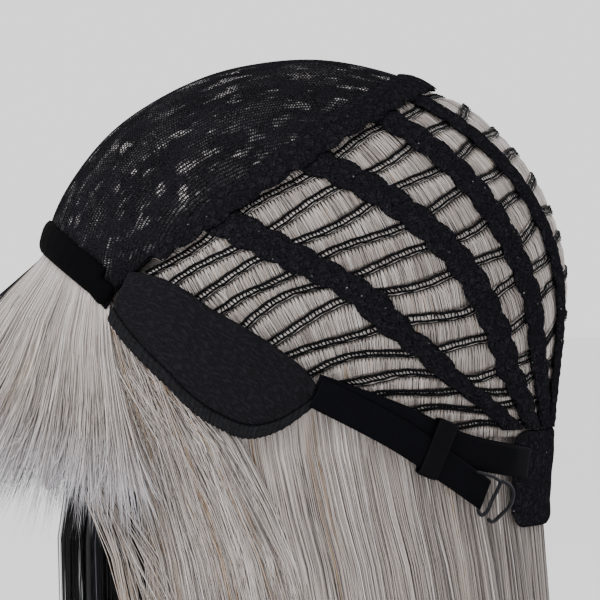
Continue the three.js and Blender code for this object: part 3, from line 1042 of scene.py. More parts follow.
def cap_sheet(station: Array, across: Array, inner: float, outer: Array) -> Body:
    """A closed sheet on the cap.

    Args:
        station: the station of each point of its grid.
        across: the share across of each.
        inner: the lift of its inner face.
        outer: the lift of its outer face at each point.

    Returns:
        The sheet's body.
    """
    body = Body()
    body.sheet(CAP.at(station, across, outer), CAP.at(station, across, inner), cap_places(station, across))
    return body


@dataclass
class FrontPanel:
    """The lace panel from the forehead to the crown seam."""

    reach: float = 0.985
    end: float = -0.02
    gap: float = 0.3
    inset: float = 0.1
    edge_drop: float = 0.5
    swell: float = 0.25
    flat: tuple[float, float] = (0.25, 0.165)
    cut_area: float = 0.0255

    def build(self) -> None:
        """Makes the panel."""
        along, side = np.meshgrid(shares(60), shares(90), indexing="ij")
        across = self.reach * (2 * side - 1)
        end = self.end - self.gap / CAP.station_length(self.end, across, -1)
        station = -1 + (end + 1) * along
        edge = np.minimum(crowned(along, 30), crowned(side, 30))
        waves = np.sin(station * 21 + across * 9) * np.sin(across * 17 - station * 6)
        outer = LIFTS.lace_outer - self.inset - self.edge_drop * (1 - edge) + self.swell * waves * edge
        piece = cap_sheet(station, across, LIFTS.lace_inner, outer).piece("front_lace", "lace", FRONT_LACE)
        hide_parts("front_lace_panel")


@dataclass
class ForeheadHem:
    """The soft plain hem along the forehead."""

    reach: float = 0.99
    width: float = 12
    thickness: float = 1.5
    edge_thickness: float = 0.3
    pucker: float = 0.12
    corner_share: float = 0.05
    end_share: float = 0.06
    flat: tuple[float, float] = (0.012, 0.2)

    def build(self) -> None:
        """Makes the hem."""
        along, side = np.meshgrid(shares(150), shares(10), indexing="ij")
        across = self.reach * (2 * along - 1)
        left = 1 - np.abs(2 * along - 1)
        corner = np.clip(1 - left / self.corner_share, 0, 1)
        deep = 0.5 + (side - 0.5) * np.sqrt(1 - 0.9 * corner**2)
        station = -1 + self.width * deep / CAP.station_length(-1, across, 1)
        pucker = self.pucker * np.sin(along * 410) * crowned(side, 2)
        ends = mixed(0.2, 1.0, np.minimum(left / self.end_share, 1) ** 0.5)
        thick = mixed(self.edge_thickness, self.thickness, crowned(side, 4))
        outer = LIFTS.trim_inner + thick * ends + pucker
        body = cap_sheet(station, across, LIFTS.trim_inner, outer)
        piece = body.piece("forehead_hem", "hem_cloth", HEM_CLOTH)
        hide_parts("forehead_band")


@dataclass(frozen=True)
class Scallop:
    """The wavy edge of a lace ribbon."""

    period: float = 11.0
    depth: float = 1.7
    picot: float = 2.3
    picot_depth: float = 0.14

    def push(self, length: Array, phase: float) -> Array:
        """How far the edge stands out, in millimetres, along its length."""
        lobe = np.abs(np.sin(np.pi * (length / self.period + phase))) ** 0.8 - 0.5
        return self.depth * lobe + self.picot_depth * np.sin(2 * np.pi * length / self.picot)


SCALLOP = Scallop()


@dataclass
class CrownSeam:
    """The lace ribbon over the seam from ear to ear."""

    reach: float = 0.985
    width: float = 13
    half_run: float = 150
    thickness: float = 1.1
    edge_thickness: float = 0.2
    lump: float = 0.22
    forward_wave: float = 0.35
    home: float = -0.02
    flat: tuple[float, float] = (0.013, 0.3)

    def build(self) -> None:
        """Makes the ribbon."""
        along, side = np.meshgrid(shares(300), shares(10), indexing="ij")
        across = self.reach * (2 * along - 1)
        length = across * self.half_run
        forward = side < 0.5
        front_wave = self.forward_wave * SCALLOP.push(length, 0.3)
        wave = np.where(forward, front_wave, SCALLOP.push(length, 0.1))
        half = (2 * side - 1) * (self.width / 2 + wave)
        back = CAP.station_length(0.0, across, 1)
        ahead = CAP.station_length(self.home, across, -1)
        station = self.home + half / np.where(forward, ahead, back)
        lump = self.lump * np.sin(length * 1.1) * np.sin(side * 9 + length * 0.4)
        thick = mixed(self.edge_thickness, self.thickness, crowned(side, 2.4))
        outer = LIFTS.trim_inner + thick + lump * crowned(side, 2)
        piece = cap_sheet(station, across, LIFTS.trim_inner, outer).piece("crown_seam", "lace", WOOLLY_LACE)
        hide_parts("crown_seam_band")


@dataclass
class LaceBands:
    """The scalloped lace ribbons from the crown seam to the nape."""

    width: float = 12.5
    taper: float = 0.17
    start: float = -0.02
    gap: float = 0.3
    lump: float = 0.25
    puff: float = 0.1
    edge_share: float = 0.4
    routes: Columns = Columns(
        "order seam nape bend width",
        (
            (1, 0.21, 0.14, 2, 0.88),
            (2, 0.37, 0.28, 4, 0.95),
            (3, 0.6, 0.44, 1, 1),
            (4, 0.83, 0.6, 2, 1.1),
        ),
    )

    def build(self) -> None:
        """Makes all the ribbons."""
        for side in Side:
            for route in self.routes.rows:
                self.ribbon(side, *route)

    def ribbon(self, side: Side, order: float, seam: float, nape: float, bend: float, width: float) -> None:
        """Makes one ribbon.

        Args:
            side: its side.
            order: its number from the middle outward.
            seam: its share across at the crown seam.
            nape: its share across at the nape.
            bend: how late it draws in.
            width: its width as a share of the ribbons' width.
        """
        along, share = np.meshgrid(shares(230), shares(8), indexing="ij")
        top = self.start + self.gap / CAP.station_length(self.start, seam, 1)
        station = top + (1 - top) * along
        centre = mixed(seam, nape, np.maximum(station, 0) ** bend)
        middle = CAP.at(station[:, 0], centre[:, 0], 0.0)
        run = np.append(0, np.cumsum(np.linalg.norm(np.diff(middle, axis=0), axis=1)))[:, None]
        phase = 0.3 * order
        push = np.where(share < 0.5, SCALLOP.push(run, 0.2 + phase), SCALLOP.push(run, 0.7 + phase))
        half = (2 * share - 1) * (self.width * width * (1 - self.taper * station) / 2 + push)
        across = centre + half / CAP.across_length(station, centre)
        lump = self.lump * np.sin(run * 1.3 + order) * np.sin(share * 8 + run * 0.5)
        full = LIFTS.lace_outer + self.puff - LIFTS.lace_inner
        thick = mixed(self.edge_share, 1.0, crowned(share, 2.6)) * full
        outer = LIFTS.lace_inner + thick + lump * crowned(share, 2)
        body = cap_sheet(station, across, LIFTS.lace_inner, outer).turned(side)
        piece = body.piece(f"lace_ribbon_{side.word}_{order:.0f}", "lace", WOOLLY_LACE)
        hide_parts(f"lace_band_{side.word}_{order:.0f}")


@dataclass
class NapePanel:
    """The lace piece across the nape."""

    height: float = 36.5
    turn: float = 34
    lump: float = 0.5
    edge_thickness: float = 0.6
    corner_share: float = 0.18
    top_bend: float = 0.2
    bottom_bend: float = 0.42
    flat: tuple[float, float] = (0.115, 0.0365)

    def build(self) -> None:
        """Makes the panel."""
        along, share = np.meshgrid(shares(80), shares(24), indexing="ij")
        side = 2 * along - 1
        corner = np.maximum(0, 1 - (1 - np.abs(side)) / self.corner_share)
        bend = 1 - np.sqrt(1 - 0.75 * corner**2)
        top = CAP.nape_depth + self.top_bend * bend * self.height
        bottom = CAP.nape_depth + self.height * (1 - self.bottom_bend * bend)
        angle = np.pi / 2 - np.radians(side * self.turn)
        depth = mixed(top, bottom, share)
        edge = np.minimum(crowned(share, 12), crowned(along, 24))
        lump = self.lump * np.sin(along * 27 + share * 3) * np.sin(share * 9 + along * 4)
        outer = mixed(LIFTS.lace_inner + self.edge_thickness, LIFTS.lace_outer, edge) + lump * edge
        body = Body()
        body.sheet(
            CAP.on_wall(np.cos(angle), np.sin(angle), depth, outer),
            CAP.on_wall(np.cos(angle), np.sin(angle), depth, LIFTS.lace_inner),
            np.stack([angle * CAP.half_length, depth], -1),
        )
        piece = body.piece("nape_lace", "lace", WOOLLY_LACE)
        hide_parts("nape_lace_panel")


@dataclass(frozen=True)
class WeftPlan:
    """Where the sewn hair tracks run."""

    rows: int = 12
    open_rows: int = 9
    open_share: float = 0.795
    nape_share: float = 0.183
    wave: float = 1.2
    wave_count: float = 3.1
    wave_shift: float = 0.37
    reach: float = 1.04
    swell: float = 3.6
    swell_share: float = 0.085
    swell_start: float = 0.12
    swell_end: float = 0.15
    swell_loss: float = 0.7

    def station(self, row: int) -> float:
        """The station of a row's middle.

        Args:
            row: the row's number.

        Returns:
            The station.
        """
        open_part = (min(row, self.open_rows) - 0.5) / (self.open_rows - 0.5)
        low_part = max(row - self.open_rows, 0) / (self.rows - self.open_rows)
        return self.open_share * open_part + self.nape_share * low_part

    def stations(self, row: int, across: Array, offset: Array | float) -> Array:
        """The stations of a line beside a row.

        Args:
            row: the row's number.
            across: shares across.
            offset: how far toward the nape the line lies, in millimetres.

        Returns:
            The station at each share across.
        """
        middle = self.station(row)
        wave = self.wave * np.sin(2 * np.pi * (self.wave_count * across + self.wave_shift * row))
        return middle + (wave + offset) / CAP.station_length(middle, across, 1)

    def rise(self, station: Array, across: Array) -> Array:
        """How far the rows stand out where they cross the middle of the back.

        Args:
            station: stations of the cap.
            across: shares across.

        Returns:
            The added lift.
        """
        fade = np.clip(np.minimum(station / self.swell_start, (1 - station) / self.swell_end), 0, 1)
        height = self.swell * fade * (1 - self.swell_loss * station)
        return height * np.exp(-((across / self.swell_share) ** 2))

    def even(self, row: int, spacing: float, start: float, end: float) -> Array:
        """Shares across at an even spacing along a row.

        Args:
            row: the row's number.
            spacing: the spacing, in millimetres.
            start: where they start.
            end: the furthest that they reach.

        Returns:
            The shares across.
        """
        across = np.linspace(start, end, 700)
        points = CAP.at(self.stations(row, across, 0.0), across, LIFTS.track_outer)
        length = np.append(0, np.cumsum(np.linalg.norm(np.diff(points, axis=0), axis=1)))
        return np.interp(np.arange(0, length[-1], spacing), length, across)


WEFTS = WeftPlan()


@dataclass
class WeftTracks:
    """The sewn tracks: two thread cords with rungs between them, and a thin cord below."""

    stitch: float = 1.4
    beat: float = 0.9
    wobble: float = 0.12
    knot: float = 0.16
    inset: float = 0.3
    rung_reach: float = 1.06
    ribbon_half: float = 1.75
    ribbon_inset: float = 0.75
    unevenness: float = 0.15
    slant: tuple[float, float] = (0.12, 0.22)
    rung_widths: tuple[float, float] = (0.48, 0.8)
    rung_inset: float = 0.35
    rung_arch: float = 0.15
    cords: Columns = Columns("order offset radius", ((0, -1.5, 0.5), (1, 0.8, 0.42), (2, 1.7, 0.22)))

    def build(self) -> None:
        """Makes every track and the ribbons of hair in them."""
        for row in range(1, WEFTS.rows + 1):
            self.track(row)
        for side in Side:
            self.sewn_hair(side)

    @staticmethod
    def line(row: int, across: Array, offset: Array | float, lift: Array | float) -> tuple[Array, Array]:
        """A line beside a row.

        Args:
            row: the row's number.
            across: shares across.
            offset: how far toward the nape the line lies.
            lift: how far outward of the form, before the rows' own rise.

        Returns:
            Its points, and the way outward along it.
        """
        station = WEFTS.stations(row, across, offset)
        return CAP.at(station, across, lift + WEFTS.rise(station, across)), CAP.outward(station, across)

    def track(self, row: int) -> None:
        """Makes the threads of one row.

        Args:
            row: the row's number.
        """
        body = Body()
        random = np.random.default_rng(400 + row)
        across = WEFTS.even(row, self.beat, -WEFTS.reach, WEFTS.reach)
        beat = np.arange(len(across))
        for order, offset, thickness in self.cords.rows:
            wobble = self.wobble * np.sin(beat * 0.7 + row + order)
            path, outward = self.line(row, across, offset + wobble, LIFTS.track_outer - self.inset)
            radius = thickness * (1 + self.knot * np.sin(beat * 2.3 + order))
            body.tube(path, outward, radius, 4 if thickness > 0.3 else 3)
        self.rungs(body, row, random)
        piece = body.piece(f"weft_threads_{row:02d}", "weft_thread", TRACK_THREAD)
        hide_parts(f"weft_row_{row:02d}")

    def rungs(self, body: Body, row: int, random: np.random.Generator) -> None:
        """Adds the stitches between a row's cords.

        Args:
            body: what they are added to.
            row: the row's number.
            random: the source of their unevenness.
        """
        home = WEFTS.even(row, self.stitch, -WEFTS.reach, WEFTS.reach)
        count = len(home)
        stops = np.array([-1.6, -0.3, 1.3])
        slant = random.normal(*self.slant, count)[:, None] * stops
        unit_across = CAP.across_length(WEFTS.station(row), home)[:, None]
        across = np.clip(home[:, None] + slant / unit_across, -self.rung_reach, self.rung_reach)
        lift = LIFTS.track_outer - self.rung_inset + self.rung_arch * np.array([0, 1, 0])
        paths, outward = self.line(row, across, stops, lift)
        width = random.uniform(*self.rung_widths, count)[:, None] * np.array([1, 0.9, 1])
        body.hairs(paths, outward, width, np.full(count, 0.5))

    def sewn_hair(self, side: Side) -> None:
        """Makes the ribbons of hair that the threads hold, on one side.

        Args:
            side: the side.
        """
        body = Body()
        random = np.random.default_rng(31 + side.value)
        for row in range(1, WEFTS.rows + 1):
            line = WEFTS.even(row, self.stitch / 2, 0.004, WEFTS.reach)
            across, share = np.meshgrid(line, shares(1), indexing="ij")
            station = WEFTS.stations(row, across, (2 * share - 1) * self.ribbon_half)
            tone = random.uniform(0.6, 0.8, len(line))[:, None] + 0 * share
            places = np.stack([tone, 0.5 + 0 * tone], -1)
            relief = random.uniform(-self.unevenness, self.unevenness, len(line))[:, None]
            rise = WEFTS.rise(station, across)
            outer = CAP.at(station, across, LIFTS.track_outer - self.ribbon_inset + relief + rise)
            body.sheet(outer, CAP.at(station, across, LIFTS.track_inner + rise), places)
        body.turned(side).piece(f"sewn_hair_{side.word}", hair_slot(side), hair_finish(side))


@dataclass
class RowHair:
    """The hair that shows between the tracks, gathered into a bundle at each stitch."""

    side: Side
    bundle: float = 1.4
    hairs_per_bundle: int = 5
    width: float = 0.36
    start_offset: float = 1.9
    hidden_end: float = 0.6
    root_inset: float = 0.9
    end_lift: float = 0.7
    stray: float = 0.2
    bulge: float = 0.7
    first: float = 0.006
    last_station: float = 1.03
    least_run: float = 0.01
    width_spread: tuple[float, float] = (0.75, 1.2)
    short_reach: tuple[float, float] = (2.0, 8.0)
    short_width: float = 0.36
    short_tones: tuple[float, float] = (0.3, 0.75)

    def build(self) -> None:
        """Makes the hair of one side."""
        body = Body()
        random = np.random.default_rng(70 + self.side.value)
        for row in range(1, WEFTS.rows + 1):
            self.fall(body, row, random)
        self.rise(body, random)
        side = self.side
        body.turned(side).piece(f"row_hair_{side.word}", hair_slot(side), hair_finish(side))

    def fall(self, body: Body, row: int, random: np.random.Generator) -> None:
        """Adds the hair from one row to the next.

        Args:
            body: what it is added to.
            row: the row that it hangs from.
            random: the source of its unevenness.
        """
        homes = WEFTS.even(row, self.bundle, self.first, WEFTS.reach)
        count = len(homes) * self.hairs_per_bundle
        place = (np.arange(self.hairs_per_bundle) + 0.5) / self.hairs_per_bundle - 0.5
        home = np.repeat(homes, self.hairs_per_bundle)
        spread = np.tile(place, len(homes)) * self.bundle + random.normal(0, 0.07, count)
        start = WEFTS.stations(row, home, self.start_offset)
        if row < WEFTS.rows:
            end = WEFTS.stations(row + 1, home, -self.hidden_end)
        else:
            end = np.full(count, self.last_station)
        end = np.maximum(end, start + self.least_run)
        middle = (start + end) / 2
        step = 0.004
        along = (CAP.at(middle + step, home, 0.0) - CAP.at(middle - step, home, 0.0)) / (2 * step)
        aside = (CAP.at(middle, home + step, 0.0) - CAP.at(middle, home - step, 0.0)) / (2 * step)
        lean = -(along * aside).sum(-1) / (aside * aside).sum(-1) * (end - start)
        unit_across = np.linalg.norm(aside, axis=-1)
        stops = np.array([0.0, 0.36, 0.75, 1.0])
        gather = np.array([0.36, 1.0, 1.0, 1.0])
        station = mixed(start[:, None], end[:, None], stops)
        stray = random.normal(0, self.stray, count)[:, None] * stops
        beside = (spread[:, None] * gather + stray) / unit_across[:, None]
        across = home[:, None] + lean[:, None] * stops + beside
        bulge = random.uniform(0.0, self.bulge, count)[:, None] * np.sin(np.pi * stops)
        ends = (LIFTS.track_outer - self.root_inset, LIFTS.track_inner + self.end_lift)
        lift = mixed(*ends, stops) + bulge + WEFTS.rise(station, across)
        spread_width = random.uniform(*self.width_spread, count)[:, None]
        width = self.width * np.array([0.8, 1.0, 1.0, 0.4]) * spread_width
        paths = CAP.at(station, np.clip(across, 0.001, 1.07), lift)
        tone = self.tones(home, row, random)
        body.hairs(paths, CAP.outward(station, across), width, tone)

    def rise(self, body: Body, random: np.random.Generator) -> None:
        """Adds the short hair that stands above the first row.

        Args:
            body: what it is added to.
            random: the source of its unevenness.
        """
        homes = WEFTS.even(1, 0.3, self.first, 0.99)
        count = len(homes)
        start = WEFTS.stations(1, homes, -1.2)
        reach = random.uniform(*self.short_reach, count) / CAP.station_length(0.05, homes, 1)
        stops = np.array([0.0, 0.5, 1.0])
        station = start[:, None] - reach[:, None] * stops
        across = homes[:, None] + random.normal(0, 0.004, count)[:, None] * stops
        lift = mixed(LIFTS.track_outer, LIFTS.lace_outer, stops) - self.root_inset
        paths = CAP.at(station, across, np.broadcast_to(lift, station.shape))
        width = self.short_width * np.array([1.0, 0.9, 0.3])[None]
        tone = random.uniform(*self.short_tones, count)
        body.hairs(paths, CAP.outward(station, across), width, tone)

    @staticmethod
    def tones(home: Array, row: int, random: np.random.Generator) -> Array:
        """A tone for each hair: light and warm by patches."""
        patch = 0.06 * np.sin(home * 31 + row * 2.3) + 0.05 * np.sin(home * 73 + row)
        return np.clip(random.normal(0.56, 0.15, len(home)) + patch, 0.12, 0.84)


@dataclass
class EarTab:
    """A padded ear tab with its satin binding and the seam between them."""

    side: Side
    depth: float = 37
    thickness: float = 4
    binding_width: float = 5
    seam_gap: float = 0.05
    seam_radius: float = 0.22
    seam_stitches: int = 62
    tuft: float = 0.12
    crimps: int = 41
    crimp_depth: float = 0.22
    pucker: float = 0.16
    fill: float = 0.35
    binding_flat: tuple[float, float] = (0.01, 0.11)
    binding_area: float = 0.00075
    sections: Columns = Columns(
        "along forward height depth lean",
        (
            (0, -0.615, 0.09, 0.48, 0.5),
            (0.2, -0.498, 0.06, 0.76, 0.4),
            (0.4, -0.352, -0.026, 0.97, 0.27),
            (0.6, -0.21, -0.084, 1, 0.29),
            (0.8, -0.067, -0.15, 0.83, 0.36),
            (0.92, 0.003, -0.19, 0.56, 0.33),
            (1, 0.05, -0.232, 0.22, 0.3),
        ),
        smooth=True,
    )

    def on_tab(self, along: Array, down: Array, lift: Array) -> Array:
        """Points on the tab.

        Args:
            along: from its front, 0, to its back end, 1.
            down: millimetres below its upper edge.
            lift: how far outward of the cap's form.

        Returns:
            The points.
        """
        height = self.sections.at("height", along)
        scale = np.where(height < 0, CAP.side_reach, CAP.crown_height)
        depth = -height * scale + down
        lean = self.sections.at("lean", along) * down / CAP.half_length
        forward = self.sections.at("forward", along) - lean
        rise = np.maximum(-depth, 0) / CAP.crown_height
        level = np.sqrt(1 - rise**2)
        flat_y = forward / level
        flat_x = np.sqrt(1 - flat_y**2)
        dome = CAP.on_form(np.stack([flat_x * level, flat_y * level, rise], -1), lift)
        wall = CAP.on_wall(flat_x, flat_y, np.maximum(depth, 0), lift)
        return np.where((depth < 0)[..., None], dome, wall)

    def build(self) -> None:
        """Makes the tab, its binding and its seam."""
        word = self.side.word
        pad = self.pad_body().turned(self.side).piece(f"ear_pad_{word}", "tab_cloth", TAB_CLOTH)
        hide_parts(f"ear_tab_{word}")
        bound = self.binding_body().turned(self.side).piece(f"ear_binding_{word}", "satin_binding", BINDING)
        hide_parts(f"ear_tab_binding_{word}")
        self.seam_body().turned(self.side).piece(f"ear_seam_{word}", "weft_thread", TRACK_THREAD)

    def pad_body(self) -> Body:
        """The pad's body.

        Returns:
            The body, on the left side.
        """
        along, share = np.meshgrid(shares(84), shares(24), indexing="ij")
        drop = self.sections.at("depth", along) * self.depth - self.binding_width - self.seam_gap
        down = drop * share
        swell = 0.55 + 0.35 * np.sin(np.pi * share) * np.sin(np.pi * (0.1 + 0.8 * along))
        edge = np.minimum(crowned(share, 16), crowned(along, 30)) ** 0.5
        tuft = self.tuft * np.sin(along * 205 + share * 17) * edge
        outer = LIFTS.trim_inner + self.thickness * swell * mixed(0.62, 1.0, edge) + tuft
        body = Body()
        inner = np.full(along.shape, LIFTS.trim_inner)
        places = np.stack([along * 100, down], -1)
        body.sheet(self.on_tab(along, down, outer), self.on_tab(along, down, inner), places)
        return body

    def binding_body(self) -> Body:
        """The binding's body.

        Returns:
            The body, on the left side.
        """
        along, share = np.meshgrid(shares(120), shares(8), indexing="ij")
        start = self.sections.at("depth", along) * self.depth - self.binding_width
        crimp = np.sin(along * 2 * np.pi * self.crimps + 1.5 * np.sin(along * 37))
        down = start + self.binding_width * share + self.crimp_depth * crimp * share**3
        pucker = self.pucker * crimp * crowned(share, 2)
        crown = mixed(0.34, 0.55, crowned(share, 3)) * mixed(0.7, 1.0, crowned(along, 40))
        outer = LIFTS.trim_inner + self.thickness * crown + pucker
        body = Body()
        inner = np.full(along.shape, LIFTS.trim_inner)
        places = np.stack([along * 125, down - start], -1)
        body.sheet(self.on_tab(along, down, outer), self.on_tab(along, down, inner), places)
        return body

    def seam_body(self) -> Body:
        """The thread that runs in and out along the seam.

        Returns:
            The body, on the left side.
        """
        along = shares(700)[4:-4]
        down = self.sections.at("depth", along) * self.depth - self.binding_width - self.seam_gap / 2
        stitches = 0.3 * np.sin(along * 2 * np.pi * self.seam_stitches)
        path = self.on_tab(along, down, LIFTS.trim_inner + self.thickness * 0.38 + stitches)
        body = Body()
        body.tube(path, unit(path * (1, 1, 0)), self.seam_radius, 4)
        return body


@dataclass
class Straps:
    """The two elastic straps of a side, the ribbon that keeps them together, and the hook."""

    side: Side
    width: float = 12
    stretch: float = 1.08
    keeper_turn: float = 29.5
    keeper_tilt: float = -22
    keeper_width: float = 8
    keeper_thickness: float = 0.8
    keeper_slack: float = 0.3
    keeper_room: float = 0.6
    edge_thickness: float = 0.45
    end_thickness: float = 0.1
    end_share: float = 0.12
    under_tab: float = 0.7
    hook_turn: float = 1.05
    hook_gap: float = 0.3
    hook_wire: float = 1.5
    hook_width: float = 18
    hook_height: float = 15
    base_route: Columns = Columns(
        "turn depth", ((2.9, 0.69), (21, 0.91), (34, 1.09), (61, 1.25)), smooth=True
    )
    adjuster_route: Columns = Columns(
        "turn depth", ((3.2, 0.71), (21, 1.02), (34, 1.28), (43.5, 1.46)), smooth=True
    )
    hook_bends: tuple[tuple[float, float], ...] = (
        (-0.45, -0.31),
        (-0.31, -0.46),
        (-0.21, -0.41),
        (-0.055, -0.12),
        (0.09, 0.15),
        (0.19, 0.33),
        (0.37, 0.28),
        (0.51, 0.07),
        (0.45, -0.23),
        (0.22, -0.46),
        (-0.05, -0.63),
        (-0.16, -0.56),
    )
    arm_bends: tuple[tuple[float, float], ...] = (
        (-0.5, 0.62),
        (-0.27, 0.55),
        (0.0, 0.45),
        (0.19, 0.33),
    )

    def build(self) -> None:
        """Makes the straps, the keeper and the hook."""
        word = self.side.word
        base = (LIFTS.strap_inner, LIFTS.strap_outer)
        over = (LIFTS.adjuster_inner, LIFTS.adjuster_outer)
        self.strap(self.base_route, *base, f"elastic_{word}", f"base_strap_{word}")
        self.strap(self.adjuster_route, *over, f"adjuster_elastic_{word}", f"adjuster_strap_{word}")
        self.keeper()
        self.hook()

    def strap(self, route: Columns, inner: float, outer: float, name: str, node: str) -> None:
        """Makes one strap.

        Args:
            route: the strap's route on the wall.
            inner: the lift of its inner face.
            outer: the lift of its outer face.
            name: the piece's name.
            node: the node that it stands for.
        """
        along, share = np.meshgrid(shares(80), shares(10), indexing="ij")
        turns = route.rows[:, 0]
        turn = mixed(turns[0] - self.under_tab, turns[-1], along)
        depth = route.at("depth", turn) * CAP.nape_depth
        slope = (route.at("depth", turn + 0.5) - route.at("depth", turn - 0.5)) * CAP.nape_depth
        flow = unit(np.stack([np.full(turn.shape, math.radians(1) * CAP.half_length), slope], -1))
        offset = (share - 0.5) * self.width
        angle = np.radians(turn) - offset * flow[..., 1] / CAP.half_length
        low = depth + offset * flow[..., 0]
        full = mixed(inner + self.edge_thickness, outer, crowned(share, 7))
        flatten = np.clip((1 - along) / self.end_share, 0, 1)
        lift = mixed(inner + self.end_thickness, full, flatten)
        body = Body()
        run = along * math.radians(turns[-1] - turns[0]) * CAP.half_length
        body.sheet(
            CAP.on_wall(np.cos(angle), np.sin(angle), low, lift),
            CAP.on_wall(np.cos(angle), np.sin(angle), low, np.full(low.shape, inner)),
            np.stack([offset, run], -1),
        )
        piece = body.turned(self.side).piece(name, "strap_elastic", ELASTIC)
        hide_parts(node)

    def wall_frame(self, turn: float, depth: float, tilt: float, lift: float) -> tuple[Array, Array]:
        """A frame on the wall.

        Args:
            turn: the angle from the side toward the back, in radians.
            depth: how far below the widest level.
            tilt: the turn about the way outward, in radians.
            lift: how far outward of the form.

        Returns:
            The frame's place, and its three directions: backward, upward and outward.
        """
        step = 0.01

        def spot(angle: float, level: float) -> Array:
            """A point of the wall at the frame's lift."""
            return CAP.on_wall(math.cos(angle), math.sin(angle), level, lift)

        place = spot(turn, depth)
        backward = unit(spot(turn + step, depth) - spot(turn - step, depth))
        outward = unit(np.cross(backward, spot(turn, depth - 1) - place))
        upward = np.cross(outward, backward)
        cos, sin = math.cos(tilt), math.sin(tilt)
        return place, np.stack([backward * cos + upward * sin, upward * cos - backward * sin, outward])

    def keeper(self) -> None:
        """Makes the ribbon loop round both straps."""
        turn, tilt = self.keeper_turn, math.radians(self.keeper_tilt)
        routes = (self.base_route, self.adjuster_route)
        base, adjuster = (float(route.at("depth", turn)) * CAP.nape_depth for route in routes)
        lift = (LIFTS.strap_inner + LIFTS.adjuster_outer) / 2
        place, ways = self.wall_frame(math.radians(turn), (base + adjuster) / 2, tilt, lift)
        half_stack = (LIFTS.adjuster_outer - LIFTS.strap_inner) / 2 + self.keeper_slack
        half_height = (self.width + (adjuster - base) * math.cos(tilt)) / 2 + self.keeper_room
        angle = np.linspace(0.5 * np.pi, -1.5 * np.pi, 97)[1:-1] + np.pi
        wide = np.sign(np.cos(angle)) * np.abs(np.cos(angle)) ** 0.35
        tall = np.sign(np.sin(angle)) * np.abs(np.sin(angle)) ** 0.18
        loop = np.stack([wide * half_stack, tall * half_height], -1)
        normal = unit(np.stack([np.cos(angle) / half_stack, np.sin(angle) / half_height], -1))
        share = shares(8)
        thick = mixed(0.5, 1.0, crowned(share, 6)) * self.keeper_thickness
        outer_loop = loop[:, None] + normal[:, None] * thick[None, :, None]
        inner_loop = np.repeat(loop[:, None], len(share), 1)
        x = np.broadcast_to((share - 0.5) * self.keeper_width, outer_loop.shape[:2])

        def placed(points: Array) -> Array:
            """Points of the loop set on the wall."""
            return place + x[..., None] * ways[0] + points[..., 1:] * ways[1] + points[..., :1] * ways[2]

        length = np.append(0, np.cumsum(np.linalg.norm(np.diff(loop, axis=0), axis=1)))
        places = np.stack(np.broadcast_arrays(x, length[:, None]), -1)
        body = Body()
        body.sheet(placed(outer_loop), placed(inner_loop), places)
        word = self.side.word
        piece = body.turned(self.side).piece(f"ribbon_keeper_{word}", "keeper_ribbon", KEEPER_RIBBON)
        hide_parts(f"strap_keeper_{word}")

    def hook(self) -> None:
        """Makes the open wire hook, with the arm that lies over the strap's end."""
        stop_turn, stop_depth = self.adjuster_route.rows[-1]
        turn = math.radians(stop_turn + self.hook_turn)
        lift = LIFTS.adjuster_outer + self.hook_gap + self.hook_wire / 2
        place, ways = self.wall_frame(turn, stop_depth * CAP.nape_depth, 0.0, lift)
        body = Body()
        for bends, flatness in ((self.hook_bends, 1.0), (self.arm_bends, 0.8)):
            corners = np.array(bends) * (self.hook_width, self.hook_height)
            knots = np.append(0, np.cumsum(np.linalg.norm(np.diff(corners, axis=0), axis=1)))
            fine = np.linspace(0, knots[-1], 90)
            tables = (Columns("run value", tuple(zip(knots, part)), smooth=True) for part in corners.T)
            x, y = (table.at("value", fine) for table in tables)
            path = place + x[:, None] * ways[0] + y[:, None] * ways[1]
            ends = np.clip(np.minimum(fine, knots[-1] - fine) / self.hook_wire, 0, 1)
            radius = self.hook_wire / 2 * flatness * np.sqrt(1 - 0.75 * (1 - ends) ** 2)
            body.tube(path, ways[2], radius, 12)
        word = self.side.word
        piece = body.turned(self.side).piece(f"wire_hook_{word}", "hook_plastic", HOOK_PLASTIC)
        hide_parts(f"adjuster_hook_{word}")


@dataclass(frozen=True)
class Streak:
    """A darker or warmer streak in the hair, or on the black side a painted highlight."""

    place: float
    width: float
    tone: float


